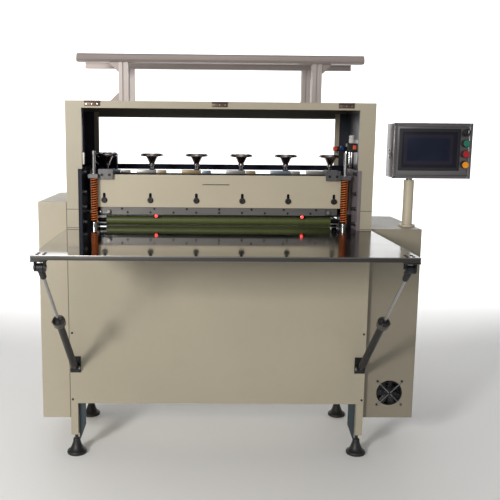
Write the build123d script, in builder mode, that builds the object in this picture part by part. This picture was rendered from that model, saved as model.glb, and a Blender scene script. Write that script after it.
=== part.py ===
"""Wide sheet die cutting machine: floor-standing frame, sprung cutting head, feed rollers,
tilting delivery table, operator panel on a mast and an aluminium rack on the portal.

Everything is modelled about the middle of the portal: X to the right, Y to the back from the
front panel, Z up from the floor.  Each piece is moved to the middle of the footprint when saved.
"""

from build123d import *
from math import sqrt
import os

os.makedirs("parts", exist_ok=True)

# ---- overall sizes -------------------------------------------------------------------------
FRAME_WIDTH = 1260.0  # outside of the portal columns
FRAME_DEPTH = 530.0  # front panel to back panel
PORTAL_TOP = 1520.0
TABLE_HEIGHT = 1000.0  # top of the table and of the bed
PANEL_BOTTOM = 244.0
RACK_TOP = 1720.0  # top of the rack rails
SHEET = 3.0  # folded steel sheet
FOLD = 20.0  # depth of a folded panel edge
HALF = FRAME_WIDTH / 2

# ---- feet and legs -------------------------------------------------------------------------
LEG_WIDTH = 30.0
LEG_DEPTH = 72.0
LEG_BOTTOM = 102.0
FOOT_INSET = 45.0  # foot centre behind the panel face
FOOT_RADIUS = 42.5
FOOT_STEM_RADIUS = 8.0
FOOT_CONE_TOP = 69.0
FOOT_EDGE = 3.0  # bevel around the sole
FOOT_RIM_TOP = 11.0
FOOT_RIM_STEP = 6.0  # the cone starts this far inside the rim and above it
FOOT_NECK = 9.0  # cone wall around the stem at the neck
FOOT_NECK_HEIGHT = 50.0
FOOT_CROWN = 5.0  # cone wall around the stem at the top
LOCK_NUT_HEIGHT = 10.0
LOCK_NUT_WALL = 4.0
BRACE_WIDTH = 30.0
BRACE_THICK = 6.0
BRACE_TIP = 74.0
BRACE_SHOULDER = 141.0

# ---- bed, cheeks and rollers ---------------------------------------------------------------
BASE_PLATE = 12.0
TABLE_THICK = 16.0
CHEEK_THICK = 20.0
CHEEK_INNER = HALF - 62.0  # half the width between the cheeks
CHEEK_TOP = 1246.0
CHEEK_DEPTH = 300.0
CHEEK_FRONT = 4.0
BED_BOTTOM = 860.0
BED_FRONT = 24.0
BED_WALL = 10.0
BED_LIP_BACK = 96.0  # back edge of the front bed plate
REAR_TABLE_THICK = 6.0
REAR_TABLE_GAP = 5.0
BLADE_PLANE = 110.0  # the shear plane between the moving blade and the bed knife
BED_KNIFE_THICK = 9.0
BED_KNIFE_DEPTH = 50.0
LOWER_ROLLER_RADIUS = 30.0
UPPER_ROLLER_RADIUS = 20.0
ROLLER_NIP = 0.3
ROLLER_CLEARANCE = 10.0  # bed knife to the lower roller
LOWER_JOURNAL = 12.0
UPPER_JOURNAL = 9.0
BLOCK_INNER = CHEEK_INNER - 48.0
ROLLER_HALF = BLOCK_INNER - 35.0
RUNNING_FIT = 0.05  # radial clearance of a running fit
SIDE_GAP = 0.5  # sideways clearance beside a moving piece

# ---- cutting head --------------------------------------------------------------------------
HEAD_HALF = CHEEK_INNER - 53.0
HEAD_TOP = 1219.0
HEAD_BACK = 255.0
HEAD_STROKE = 50.0
BEAM_BOTTOM = 1115.0
BEAM_WALL = 12.0
PLATE_BOTTOM = 1082.0
PLATE_THICK = 6.0
PLATE_FRONT = 91.0
STRIP_THICK = 6.0
STRIP_BOTTOM = 1050.0
STRIP_HALF = HEAD_HALF - 60.0
BLADE_THICK = 6.0
BLADE_OVERLAP = 2.0  # the blade goes this far below the bed at the end of its stroke
STATION_COUNT = 6  # keyholes, bolts and handwheels
STATION_INSET = 27.5  # last station from the end of the head
KEY_BOLT_HEIGHT = 1111.0
KEY_SLOT_TOP = 1142.0
KEY_SLOT_WIDTH = 12.0
KEY_HEAD_RADIUS = 10.0
WHEEL_LINE = 212.0  # handwheel screws behind the front panel
WHEEL_RADIUS = 50.0
WHEEL_HEIGHT = 1299.0
WHEEL_SCREW_RADIUS = 6.0
WHEEL_HUB_RADIUS = 13.0
WHEEL_HUB_DROP = 46.0  # hub below the middle of the rim
WHEEL_HUB_HEIGHT = 12.0
WHEEL_CONE_RADIUS = 27.0
WHEEL_RIM_WIDTH = 8.0
WHEEL_CAP_RADIUS = 12.0
SCREW_REACH = 20.0  # screw below the top wall of the head
NUT_BLOCK_HEIGHT = 16.0
NUT_BLOCK_DEPTH = 36.0
NUT_BLOCK_WIDTH = 130.0

# ---- pull rods, springs and cylinders ------------------------------------------------------
ROD_X = CHEEK_INNER - 41.0
ROD_Y = 70.0
ROD_RADIUS = 8.0
ROD_TOP = 1318.0
BUSHING_RADIUS = 13.0
BUSHING_TOP = 1021.0
SPRING_TOP = 1205.0
SPRING_RADIUS = 12.5
SPRING_WIRE = 2.4
SPRING_TURNS = 13
SPRING_SEAT_GAP = 0.3
YOKE_THICK = 17.0
YOKE_HALF_DEPTH = 20.0
YOKE_INNER = 18.0  # yoke edges beside the rod
YOKE_OUTER = 22.0
BRACKET_REACH = 78.0  # bracket plate edge beside the rod
BRACKET_RISE = 23.0  # bracket above the head
BRACKET_BACK = 152.0
CYLINDER_RADIUS = 36.0
PISTON_RADIUS = 30.0
CYLINDER_LENGTH = 220.0
CYLINDER_CAP = 14.0
PISTON_THICK = 20.0
PISTON_REST = 52.0  # room below the piston at rest

# ---- tilting table and struts --------------------------------------------------------------
TABLE_REACH = 672.0
TABLE_GAP = 2.0  # gap between the leaf and the front panel
TABLE_SKIN = 2.0
HINGE_Y = -14.0
HINGE_Z = 972.0
HINGE_X = HALF - 230.0
HINGE_PIN = 5.0
HINGE_EYE = 12.0
LUG_WIDTH = 20.0
EAR_THICK = 8.0
STRUT_X = HALF - 24.0
STRUT_LOW = (-20.0, 408.0)  # Y and Z of the lower pivot
STRUT_HIGH = (-640.0, 955.0)  # Y and Z of the upper pivot
STRUT_PIN = 5.0
STRUT_EAR = 6.0
STRUT_TUBE_RADIUS = 12.0
STRUT_TUBE_BORE = STRUT_TUBE_RADIUS - 2.5
STRUT_EYE_WIDTH = 2 * STRUT_TUBE_RADIUS - 1.0
STRUT_ROD_RADIUS = 6.0
COLLAR_AT = 425.0  # along the strut from the lower pivot
COLLAR_LENGTH = 40.0
COLLAR_RADIUS = 25.0
GUIDE_AT = 150.0  # guide head of the rod along the strut
GUIDE_LENGTH = 14.0
FORK_RADIUS = 11.0
FORK_LENGTH = 54.0
UPPER_EYE_RADIUS = 14.0
OPEN_PIVOT_CLEARANCE = 1.3

# ---- portal, rack and cabinets -------------------------------------------------------------
COLUMN_WIDTH = 65.0
COLUMN_LOW_WIDTH = 48.0
BEAM_HEIGHT = 29.0
REAR_FLANGE = 66.0
REAR_LIP = 24.0  # rear lip of the beam below its front edge
TIE_BAR_Y = 405.0
TIE_BAR_BOTTOM = 1229.0
TIE_BAR_TOP = 1252.0
RACK_X = HALF - 224.0
RACK_FRONT_Y = 150.0
RACK_REAR_Y = 450.0
RACK_PROFILE = 40.0
RACK_SLOT = 8.0
RACK_SLOT_DEPTH = 6.0
RAIL_HEIGHT = 35.0
RAIL_HALF = HALF - 30.0
LEFT_CABINET_WIDTH = 125.0
LEFT_CABINET_BOTTOM = 169.0
LEFT_CABINET_TOP = 1107.0
RIGHT_CABINET_WIDTH = 221.0
RIGHT_CABINET_BOTTOM = 173.0
RIGHT_CABINET_TOP = 1003.0
CABINET_FRONT = 29.0
CABINET_SHEET = 2.0
CABINET_REVEAL = 6.0
DOOR_GAP = 0.4
DOOR_PIN = 2.0
DOOR_KNUCKLE = 4.0

# ---- fan, mast and operator panel ----------------------------------------------------------
FAN_X = HALF + 117.0
FAN_Z = 285.0
FAN_SIZE = 119.0
FAN_BORE = 56.0
FAN_DEPTH = 25.0
FAN_HUB = 18.0
FAN_BLADES = 7
GUARD_WIRE = 1.3
MAST_X = HALF + 190.0
MAST_Y = 145.0
MAST_RADIUS = 21.5
MAST_TOP = 1203.0
SPIGOT_RADIUS = 12.0
PANEL_LEFT = HALF + 100.0
PANEL_WIDTH = 332.0
PANEL_LOW = 1213.0
PANEL_HEIGHT = 232.0
PANEL_DEPTH = 120.0
PANEL_SHEET = 2.0
BEZEL_WIDTH = 259.0
BEZEL_HEIGHT = 176.0
BEZEL_THICK = 3.0
BEZEL_INSET = 23.0
CONTROL_INSET = 26.0
CONTROL_TOP_INSET = 38.5
CONTROL_PITCH = 45.0
CONTROL_RING = 15.0
CAP_RADIUS = 11.0
CONTROL_STEM = 5.0
BUTTON_TRAVEL = 4.0

# ---- derived places ------------------------------------------------------------------------
BED_UNDERSIDE = TABLE_HEIGHT - TABLE_THICK
COLUMN_TOP = PORTAL_TOP - BEAM_HEIGHT
STRIP_FRONT = BLADE_PLANE - BLADE_THICK - STRIP_THICK
BEAM_FRONT = PLATE_FRONT + PLATE_THICK
BLADE_BOTTOM = TABLE_HEIGHT - BLADE_OVERLAP + HEAD_STROKE
ROLLER_Y = BLADE_PLANE + ROLLER_CLEARANCE + LOWER_ROLLER_RADIUS
REAR_TABLE_START = ROLLER_Y + LOWER_ROLLER_RADIUS + REAR_TABLE_GAP
LOWER_ROLLER_Z = TABLE_HEIGHT - LOWER_ROLLER_RADIUS
UPPER_ROLLER_Z = TABLE_HEIGHT + ROLLER_NIP + UPPER_ROLLER_RADIUS
STATION_PITCH = 2 * (HEAD_HALF - STATION_INSET) / (STATION_COUNT - 1)
STATIONS = [(index - (STATION_COUNT - 1) / 2) * STATION_PITCH for index in range(STATION_COUNT)]
RAIL_BOTTOM = RACK_TOP - RAIL_HEIGHT
LEFT_EDGE = -HALF - LEFT_CABINET_WIDTH
CABINET_RIGHT = HALF + RIGHT_CABINET_WIDTH
PANEL_FRONT = MAST_Y - PANEL_DEPTH / 2
PANEL_RIGHT = PANEL_LEFT + PANEL_WIDTH
STRUT_RUN = STRUT_HIGH[0] - STRUT_LOW[0]
STRUT_RISE = STRUT_HIGH[1] - STRUT_LOW[1]
STRUT_LENGTH = sqrt(STRUT_RUN**2 + STRUT_RISE**2)
HINGE_LINE_X = CABINET_RIGHT - DOOR_KNUCKLE
HINGE_LINE_Y = FRAME_DEPTH + DOOR_KNUCKLE + DOOR_GAP
REAR_EDGE = HINGE_LINE_Y + DOOR_KNUCKLE
ORIGIN = Location((-(LEFT_EDGE + PANEL_RIGHT) / 2, (TABLE_REACH - REAR_EDGE) / 2, 0))

LOW = (Align.CENTER, Align.CENTER, Align.MIN)
CORNER = (Align.MIN, Align.MIN, Align.MIN)


def save(piece, name):
    """Label a finished piece, move it into the machine's frame and write its STEP file."""
    piece.part.label = name
    export_step(piece.part.moved(ORIGIN), f"parts/{name}.step")


def block(x_range, y_range, z_range, mode=Mode.ADD):
    """A box between two X, two Y and two Z values, added to the part in progress."""
    size = [high - low for low, high in (x_range, y_range, z_range)]
    with Locations((x_range[0], y_range[0], z_range[0])):
        return Box(*size, align=CORNER, mode=mode)


def side_range(side, inner, outer):
    """The X range between two distances from the middle, on side -1 or +1."""
    return tuple(sorted((side * inner, side * outer)))


def bar_x(radius, x_range, y, z, mode=Mode.ADD):
    """A round bar along X, added to the part in progress."""
    with Locations(Plane((x_range[0], y, z), x_dir=(0, 1, 0), z_dir=(1, 0, 0))):
        return Cylinder(radius, x_range[1] - x_range[0], align=LOW, mode=mode)


def bar_y(radius, y_range, x, z, mode=Mode.ADD):
    """A round bar along Y, added to the part in progress."""
    with Locations(Plane((x, y_range[0], z), x_dir=(1, 0, 0), z_dir=(0, 1, 0))):
        return Cylinder(radius, y_range[1] - y_range[0], align=LOW, mode=mode)


def bar_z(radius, z_range, x, y, mode=Mode.ADD):
    """A round bar along Z, added to the part in progress."""
    with Locations((x, y, z_range[0])):
        return Cylinder(radius, z_range[1] - z_range[0], align=LOW, mode=mode)


# ---- floor frame ---------------------------------------------------------------------------
with BuildPart() as legs:
    for side in (-1, 1):
        for front in (0.0, FRAME_DEPTH - LEG_DEPTH):
            block(side_range(side, HALF - LEG_WIDTH, HALF), (front, front + LEG_DEPTH),
                  (LEG_BOTTOM, PANEL_BOTTOM))
        brace_edge = side * (HALF - LEG_WIDTH)
        for brace_y in (BED_FRONT, FRAME_DEPTH - BED_FRONT - BRACE_THICK):
            with BuildSketch(Plane.XZ.offset(-brace_y - BRACE_THICK)):
                with BuildLine():
                    Polyline(
                        (brace_edge, PANEL_BOTTOM),
                        (brace_edge - side * BRACE_WIDTH, PANEL_BOTTOM),
                        (brace_edge - side * BRACE_WIDTH, BRACE_SHOULDER),
                        (brace_edge - side * BRACE_THICK, BRACE_TIP),
                        (brace_edge, BRACE_TIP),
                        close=True,
                    )
                make_face()
            extrude(amount=BRACE_THICK)
save(legs, "legs")

with BuildPart() as levelling_feet:
    for side in (-1, 1):
        for foot_y in (FOOT_INSET, FRAME_DEPTH - FOOT_INSET):
            foot_plane = Plane((side * (HALF - LEG_WIDTH / 2), foot_y, 0), x_dir=(1, 0, 0),
                               z_dir=(0, -1, 0))
            with BuildSketch(foot_plane):
                with BuildLine():
                    Polyline(
                        (0, 0),
                        (FOOT_RADIUS - FOOT_EDGE, 0),
                        (FOOT_RADIUS, FOOT_EDGE),
                        (FOOT_RADIUS, FOOT_RIM_TOP),
                        (FOOT_RADIUS - FOOT_RIM_STEP, FOOT_RIM_TOP + FOOT_RIM_STEP),
                        (FOOT_STEM_RADIUS + FOOT_NECK, FOOT_NECK_HEIGHT),
                        (FOOT_STEM_RADIUS + FOOT_CROWN, FOOT_CONE_TOP),
                        (FOOT_STEM_RADIUS, FOOT_CONE_TOP),
                        (FOOT_STEM_RADIUS, LEG_BOTTOM),
                        (0, LEG_BOTTOM),
                        close=True,
                    )
                make_face()
            revolve(axis=Axis(foot_plane.origin, (0, 0, 1)))
            nut_plane = Plane((foot_plane.origin.X, foot_y, LEG_BOTTOM - LOCK_NUT_HEIGHT))
            with BuildSketch(nut_plane):
                RegularPolygon(FOOT_STEM_RADIUS + LOCK_NUT_WALL, 6, major_radius=False)
            extrude(amount=LOCK_NUT_HEIGHT)
save(levelling_feet, "levelling_feet")

with BuildPart() as base_plate:
    block((-HALF, HALF), (FOLD, FRAME_DEPTH - FOLD), (PANEL_BOTTOM, PANEL_BOTTOM + BASE_PLATE))
save(base_plate, "base_plate")


def folded_panel(face_y, inward):
    """A flat panel across the machine with its four edges folded in, added to the part."""
    outer = sorted((face_y, face_y + inward * FOLD))
    inner = sorted((face_y + inward * SHEET, face_y + inward * (FOLD + 1)))
    block((-HALF, HALF), outer, (PANEL_BOTTOM, BED_UNDERSIDE - 1))
    block((-HALF + SHEET, HALF - SHEET), inner,
          (PANEL_BOTTOM + SHEET, BED_UNDERSIDE - 1 - SHEET), Mode.SUBTRACT)


with BuildPart() as front_panel:
    folded_panel(0.0, 1)
save(front_panel, "front_panel")

with BuildPart() as body_panels:
    folded_panel(FRAME_DEPTH, -1)
    for side in (-1, 1):
        block(side_range(side, HALF - SHEET, HALF), (FOLD, FRAME_DEPTH - FOLD - 1),
              (PANEL_BOTTOM + BASE_PLATE, BED_UNDERSIDE - 1))
    bar_x(LOWER_JOURNAL + 2, (-HALF, -HALF + SHEET), ROLLER_Y, LOWER_ROLLER_Z, Mode.SUBTRACT)
save(body_panels, "body_panels")

# ---- bed between the cheeks ----------------------------------------------------------------
with BuildPart() as bed_beam:
    block((-CHEEK_INNER, CHEEK_INNER), (BED_FRONT, BLADE_PLANE), (BED_BOTTOM, BED_UNDERSIDE))
    block((-CHEEK_INNER, CHEEK_INNER), (BED_FRONT + BED_WALL, BLADE_PLANE - BED_WALL),
          (BED_BOTTOM + BED_WALL, BED_UNDERSIDE - BED_WALL), Mode.SUBTRACT)
    for side in (-1, 1):
        bar_z(BUSHING_RADIUS, (BED_UNDERSIDE - BED_WALL, BED_UNDERSIDE), side * ROD_X, ROD_Y,
              Mode.SUBTRACT)
        bar_z(ROD_RADIUS + 1, (BED_BOTTOM, BED_BOTTOM + BED_WALL), side * ROD_X, ROD_Y,
              Mode.SUBTRACT)
save(bed_beam, "bed_beam")

with BuildPart() as bed_top:
    block((-CHEEK_INNER, CHEEK_INNER), (0, BED_LIP_BACK), (BED_UNDERSIDE, TABLE_HEIGHT))
    for side in (-1, 1):
        bar_z(BUSHING_RADIUS, (BED_UNDERSIDE, TABLE_HEIGHT), side * ROD_X, ROD_Y, Mode.SUBTRACT)
    block((-CHEEK_INNER, CHEEK_INNER), (REAR_TABLE_START, FRAME_DEPTH),
          (TABLE_HEIGHT - REAR_TABLE_THICK, TABLE_HEIGHT))
save(bed_top, "bed_top")

with BuildPart() as bed_knife:
    block((-HEAD_HALF, HEAD_HALF), (BLADE_PLANE, BLADE_PLANE + BED_KNIFE_THICK),
          (TABLE_HEIGHT - BED_KNIFE_DEPTH, TABLE_HEIGHT))
save(bed_knife, "bed_knife")

with BuildPart() as cheeks:
    for side in (-1, 1):
        start = min(side * CHEEK_INNER, side * (CHEEK_INNER + CHEEK_THICK))
        with BuildSketch(Plane.YZ.offset(start)):
            with BuildLine():
                Polyline(
                    (BED_FRONT, BED_BOTTOM),
                    (CHEEK_DEPTH, BED_BOTTOM),
                    (CHEEK_DEPTH, CHEEK_TOP),
                    (CHEEK_FRONT, CHEEK_TOP),
                    (CHEEK_FRONT, BED_UNDERSIDE),
                    (BED_FRONT, BED_UNDERSIDE),
                    close=True,
                )
            make_face()
        extrude(amount=CHEEK_THICK)
    bar_x(LOWER_JOURNAL + 1, (-CHEEK_INNER - CHEEK_THICK, -CHEEK_INNER), ROLLER_Y,
          LOWER_ROLLER_Z, Mode.SUBTRACT)
save(cheeks, "cheeks")

CHEEK_BOLT_Y = 28.0
WASHER_RADIUS = 9.0
WASHER_THICK = 4.0
CHEEK_BOLT_RADIUS = 7.0
CHEEK_BOLT_REACH = 20.0
CHEEK_BOLT_HEIGHTS = (1025.0, 1088.0, 1150.0, 1233.0)
with BuildPart() as cheek_bolts:
    for side in (-1, 1):
        for bolt_z in CHEEK_BOLT_HEIGHTS:
            washer = side_range(side, CHEEK_INNER - WASHER_THICK, CHEEK_INNER)
            bolt_head = side_range(side, CHEEK_INNER - CHEEK_BOLT_REACH,
                                   CHEEK_INNER - WASHER_THICK)
            bar_x(WASHER_RADIUS, washer, CHEEK_BOLT_Y, bolt_z)
            bar_x(CHEEK_BOLT_RADIUS, bolt_head, CHEEK_BOLT_Y, bolt_z)
save(cheek_bolts, "cheek_bolts")

# ---- rollers and their drive ---------------------------------------------------------------
BLOCK_BACK = ROLLER_Y + LOWER_ROLLER_RADIUS + 4
BLOCK_HEIGHT_BELOW = 65.0  # bearing block below the table surface
with BuildPart() as bearing_blocks:
    for side in (-1, 1):
        across = side_range(side, BLOCK_INNER, CHEEK_INNER)
        block(across, (BLADE_PLANE + 2, BLOCK_BACK), (TABLE_HEIGHT - BLOCK_HEIGHT_BELOW, STRIP_BOTTOM))
        bar_x(LOWER_JOURNAL + RUNNING_FIT, across, ROLLER_Y, LOWER_ROLLER_Z, Mode.SUBTRACT)
        bar_x(UPPER_JOURNAL + RUNNING_FIT, across, ROLLER_Y, UPPER_ROLLER_Z, Mode.SUBTRACT)
save(bearing_blocks, "bearing_blocks")

GEARBOX_NEAR = HALF + 16
GEARBOX_FAR = HALF + 86
GEARBOX_HALF = 48.0
MOTOR_RADIUS = 38.0
MOTOR_DROP = 270.0  # motor end below the roller's axis
MOTOR_MOUNT_HALF = 40.0
with BuildPart() as roller_lower:
    bar_x(LOWER_ROLLER_RADIUS, (-ROLLER_HALF, ROLLER_HALF), ROLLER_Y, LOWER_ROLLER_Z)
    bar_x(LOWER_JOURNAL, (-GEARBOX_FAR + 10, CHEEK_INNER - 2), ROLLER_Y, LOWER_ROLLER_Z)
save(roller_lower, "roller_lower")

with BuildPart() as roller_upper:
    bar_x(UPPER_ROLLER_RADIUS, (-ROLLER_HALF, ROLLER_HALF), ROLLER_Y, UPPER_ROLLER_Z)
    bar_x(UPPER_JOURNAL, (-CHEEK_INNER + 2, CHEEK_INNER - 2), ROLLER_Y, UPPER_ROLLER_Z)
save(roller_upper, "roller_upper")

with BuildPart() as drive_motor:
    block((-GEARBOX_FAR, -GEARBOX_NEAR), (ROLLER_Y - GEARBOX_HALF, ROLLER_Y + GEARBOX_HALF),
          (LOWER_ROLLER_Z - GEARBOX_HALF, LOWER_ROLLER_Z + GEARBOX_HALF))
    bar_z(MOTOR_RADIUS, (LOWER_ROLLER_Z - MOTOR_DROP, LOWER_ROLLER_Z - GEARBOX_HALF),
          -(GEARBOX_NEAR + GEARBOX_FAR) / 2, ROLLER_Y)
    block((-GEARBOX_NEAR, -HALF - CABINET_SHEET),
          (ROLLER_Y - MOTOR_MOUNT_HALF, ROLLER_Y + MOTOR_MOUNT_HALF),
          (LOWER_ROLLER_Z - MOTOR_MOUNT_HALF, LOWER_ROLLER_Z + MOTOR_MOUNT_HALF))
    bar_x(LOWER_JOURNAL + RUNNING_FIT, (-GEARBOX_FAR, -HALF), ROLLER_Y, LOWER_ROLLER_Z,
          Mode.SUBTRACT)
save(drive_motor, "drive_motor")

SENSOR_STATIONS = (-269.0, 357.0)
SENSOR_Y = BLADE_PLANE + 3
with BuildPart() as light_sensors:
    block((-CHEEK_INNER + 20, CHEEK_INNER - 20), (SENSOR_Y, SENSOR_Y + 6),
          (STRIP_BOTTOM, STRIP_BOTTOM + 6))
    for sensor_x in SENSOR_STATIONS:
        block((sensor_x - 7, sensor_x + 7), (SENSOR_Y, SENSOR_Y + 9),
              (STRIP_BOTTOM - 15, STRIP_BOTTOM))
save(light_sensors, "light_sensors")

# ---- cutting head --------------------------------------------------------------------------
with BuildPart() as head_beam:
    block((-HEAD_HALF, HEAD_HALF), (BEAM_FRONT, HEAD_BACK), (BEAM_BOTTOM, HEAD_TOP))
    block((-HEAD_HALF, HEAD_HALF), (BEAM_FRONT + BEAM_WALL, HEAD_BACK - BEAM_WALL),
          (BEAM_BOTTOM + BEAM_WALL, HEAD_TOP - BEAM_WALL), Mode.SUBTRACT)
    block((-HEAD_HALF, HEAD_HALF), (BEAM_FRONT, BLADE_PLANE - BLADE_THICK),
          (PLATE_BOTTOM, BEAM_BOTTOM))
    for station in STATIONS:
        bar_z(WHEEL_SCREW_RADIUS + 1, (HEAD_TOP - BEAM_WALL, HEAD_TOP), station, WHEEL_LINE,
              Mode.SUBTRACT)
save(head_beam, "head_beam")

with BuildPart() as head_plate:
    block((-HEAD_HALF, HEAD_HALF), (PLATE_FRONT, BEAM_FRONT), (PLATE_BOTTOM, HEAD_TOP))
    for station in STATIONS:
        bar_y(KEY_SLOT_WIDTH / 2, (PLATE_FRONT, BEAM_FRONT), station, KEY_BOLT_HEIGHT,
              Mode.SUBTRACT)
        block((station - KEY_SLOT_WIDTH / 2, station + KEY_SLOT_WIDTH / 2),
              (PLATE_FRONT, BEAM_FRONT), (KEY_BOLT_HEIGHT, KEY_SLOT_TOP - KEY_SLOT_WIDTH / 2),
              Mode.SUBTRACT)
        bar_y(KEY_SLOT_WIDTH / 2, (PLATE_FRONT, BEAM_FRONT), station,
              KEY_SLOT_TOP - KEY_SLOT_WIDTH / 2, Mode.SUBTRACT)
save(head_plate, "head_plate")

KNIFE_BOLT_PITCH = STATION_PITCH / 2
KNIFE_BOLT_RADIUS = 4.5
KNIFE_BOLT_HEAD = 3.0
KNIFE_LOW_ROW = STRIP_BOTTOM + 9
KNIFE_HIGH_ROW = PLATE_BOTTOM - 8
with BuildPart() as head_bolts:
    for station in STATIONS:
        bar_y(KEY_HEAD_RADIUS, (PLATE_FRONT - 10, PLATE_FRONT), station, KEY_BOLT_HEIGHT)
        bar_y(KEY_SLOT_WIDTH / 2 - 1, (PLATE_FRONT, BEAM_FRONT), station, KEY_BOLT_HEIGHT)
    for index in range(-4, 5):
        bar_y(KNIFE_BOLT_RADIUS, (STRIP_FRONT - KNIFE_BOLT_HEAD, STRIP_FRONT),
              index * KNIFE_BOLT_PITCH, KNIFE_LOW_ROW)
    for index in range(-3, 4):
        bar_y(KNIFE_BOLT_RADIUS, (STRIP_FRONT - KNIFE_BOLT_HEAD, STRIP_FRONT),
              index * KNIFE_BOLT_PITCH * sqrt(2), KNIFE_HIGH_ROW)
save(head_bolts, "head_bolts")

with BuildPart() as knife_strip:
    block((-STRIP_HALF, STRIP_HALF), (STRIP_FRONT, STRIP_FRONT + STRIP_THICK),
          (STRIP_BOTTOM, PLATE_BOTTOM))
save(knife_strip, "knife_strip")

with BuildPart() as knife_blade:
    with BuildSketch(Plane.YZ.offset(-HEAD_HALF + 10)):
        with BuildLine():
            Polyline(
                (BLADE_PLANE, BLADE_BOTTOM),
                (BLADE_PLANE, BEAM_BOTTOM),
                (BLADE_PLANE - BLADE_THICK, BEAM_BOTTOM),
                (BLADE_PLANE - BLADE_THICK, BLADE_BOTTOM + 4),
                close=True,
            )
        make_face()
    extrude(amount=2 * (HEAD_HALF - 10))
save(knife_blade, "knife_blade")

with BuildPart() as head_brackets:
    for side in (-1, 1):
        yoke_top = SPRING_TOP + YOKE_THICK
        plate = side_range(side, ROD_X - BRACKET_REACH, ROD_X - YOKE_INNER)
        block(side_range(side, ROD_X - YOKE_INNER, ROD_X + YOKE_OUTER),
              (ROD_Y - YOKE_HALF_DEPTH, ROD_Y + YOKE_HALF_DEPTH), (SPRING_TOP, yoke_top))
        block(plate, (ROD_Y + 3, PLATE_FRONT), (SPRING_TOP - 5, HEAD_TOP + BRACKET_RISE))
        block(plate, (PLATE_FRONT, BRACKET_BACK), (HEAD_TOP, HEAD_TOP + BRACKET_RISE))
        bar_z(ROD_RADIUS, (SPRING_TOP, yoke_top), side * ROD_X, ROD_Y, Mode.SUBTRACT)
save(head_brackets, "head_brackets")

with BuildPart() as nut_blocks:
    for station in STATIONS:
        edge = min(max(station - NUT_BLOCK_WIDTH / 2, -HEAD_HALF), HEAD_HALF - NUT_BLOCK_WIDTH)
        block((edge, edge + NUT_BLOCK_WIDTH),
              (WHEEL_LINE - NUT_BLOCK_DEPTH / 2, WHEEL_LINE + NUT_BLOCK_DEPTH / 2),
              (HEAD_TOP, HEAD_TOP + NUT_BLOCK_HEIGHT))
        bar_z(WHEEL_SCREW_RADIUS + RUNNING_FIT, (HEAD_TOP, HEAD_TOP + NUT_BLOCK_HEIGHT),
              station, WHEEL_LINE, Mode.SUBTRACT)
save(nut_blocks, "nut_blocks")


def handwheel(station):
    """A dished handwheel pinned on its adjusting screw, which runs down into the head."""
    wheel_plane = Plane((station, WHEEL_LINE, 0), x_dir=(1, 0, 0), z_dir=(0, -1, 0))
    hub_bottom = WHEEL_HEIGHT - WHEEL_HUB_DROP
    screw_end = HEAD_TOP - BEAM_WALL - SCREW_REACH
    with BuildPart() as wheel:
        with BuildSketch(wheel_plane):
            with BuildLine():
                Polyline(
                    (0, screw_end),
                    (WHEEL_SCREW_RADIUS, screw_end),
                    (WHEEL_SCREW_RADIUS, hub_bottom),
                    (WHEEL_HUB_RADIUS, hub_bottom),
                    (WHEEL_HUB_RADIUS, hub_bottom + WHEEL_HUB_HEIGHT),
                    (WHEEL_CONE_RADIUS, WHEEL_HEIGHT - 8),
                    (WHEEL_RADIUS - WHEEL_RIM_WIDTH, WHEEL_HEIGHT - 7),
                    (WHEEL_RADIUS, WHEEL_HEIGHT - 4),
                    (WHEEL_RADIUS, WHEEL_HEIGHT + 5),
                    (WHEEL_RADIUS - 5, WHEEL_HEIGHT + 7),
                    (WHEEL_RADIUS - WHEEL_RIM_WIDTH - 3, WHEEL_HEIGHT + 1),
                    (WHEEL_CAP_RADIUS + 2, WHEEL_HEIGHT + 1),
                    (WHEEL_CAP_RADIUS, WHEEL_HEIGHT + 6),
                    (0, WHEEL_HEIGHT + 6),
                    close=True,
                )
            make_face()
        revolve(axis=Axis(wheel_plane.origin, (0, 0, 1)))
    return wheel


for number, wheel_station in enumerate(STATIONS, start=1):
    save(handwheel(wheel_station), f"handwheel_{number}")

# ---- pull rods, springs and cylinders ------------------------------------------------------
CYLINDER_BOTTOM = BED_BOTTOM - CYLINDER_LENGTH
PISTON_BOTTOM = CYLINDER_BOTTOM + CYLINDER_CAP + PISTON_REST
with BuildPart() as pull_rods:
    for side in (-1, 1):
        bar_z(ROD_RADIUS, (PISTON_BOTTOM, ROD_TOP), side * ROD_X, ROD_Y)
        bar_z(PISTON_RADIUS, (PISTON_BOTTOM, PISTON_BOTTOM + PISTON_THICK), side * ROD_X, ROD_Y)
save(pull_rods, "pull_rods")

with BuildPart() as pull_cylinders:
    for side in (-1, 1):
        rod_x = side * ROD_X
        bar_z(CYLINDER_RADIUS, (CYLINDER_BOTTOM, BED_BOTTOM), rod_x, ROD_Y)
        bar_z(PISTON_RADIUS + RUNNING_FIT,
              (CYLINDER_BOTTOM + CYLINDER_CAP, BED_BOTTOM - CYLINDER_CAP), rod_x, ROD_Y,
              Mode.SUBTRACT)
        bar_z(ROD_RADIUS + RUNNING_FIT, (BED_BOTTOM - CYLINDER_CAP, BED_BOTTOM), rod_x, ROD_Y,
              Mode.SUBTRACT)
        bar_z(BUSHING_RADIUS, (BED_UNDERSIDE - BED_WALL, BUSHING_TOP), rod_x, ROD_Y)
        bar_z(ROD_RADIUS + RUNNING_FIT, (BED_UNDERSIDE - BED_WALL, BUSHING_TOP), rod_x, ROD_Y,
              Mode.SUBTRACT)
save(pull_cylinders, "pull_cylinders")

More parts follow.
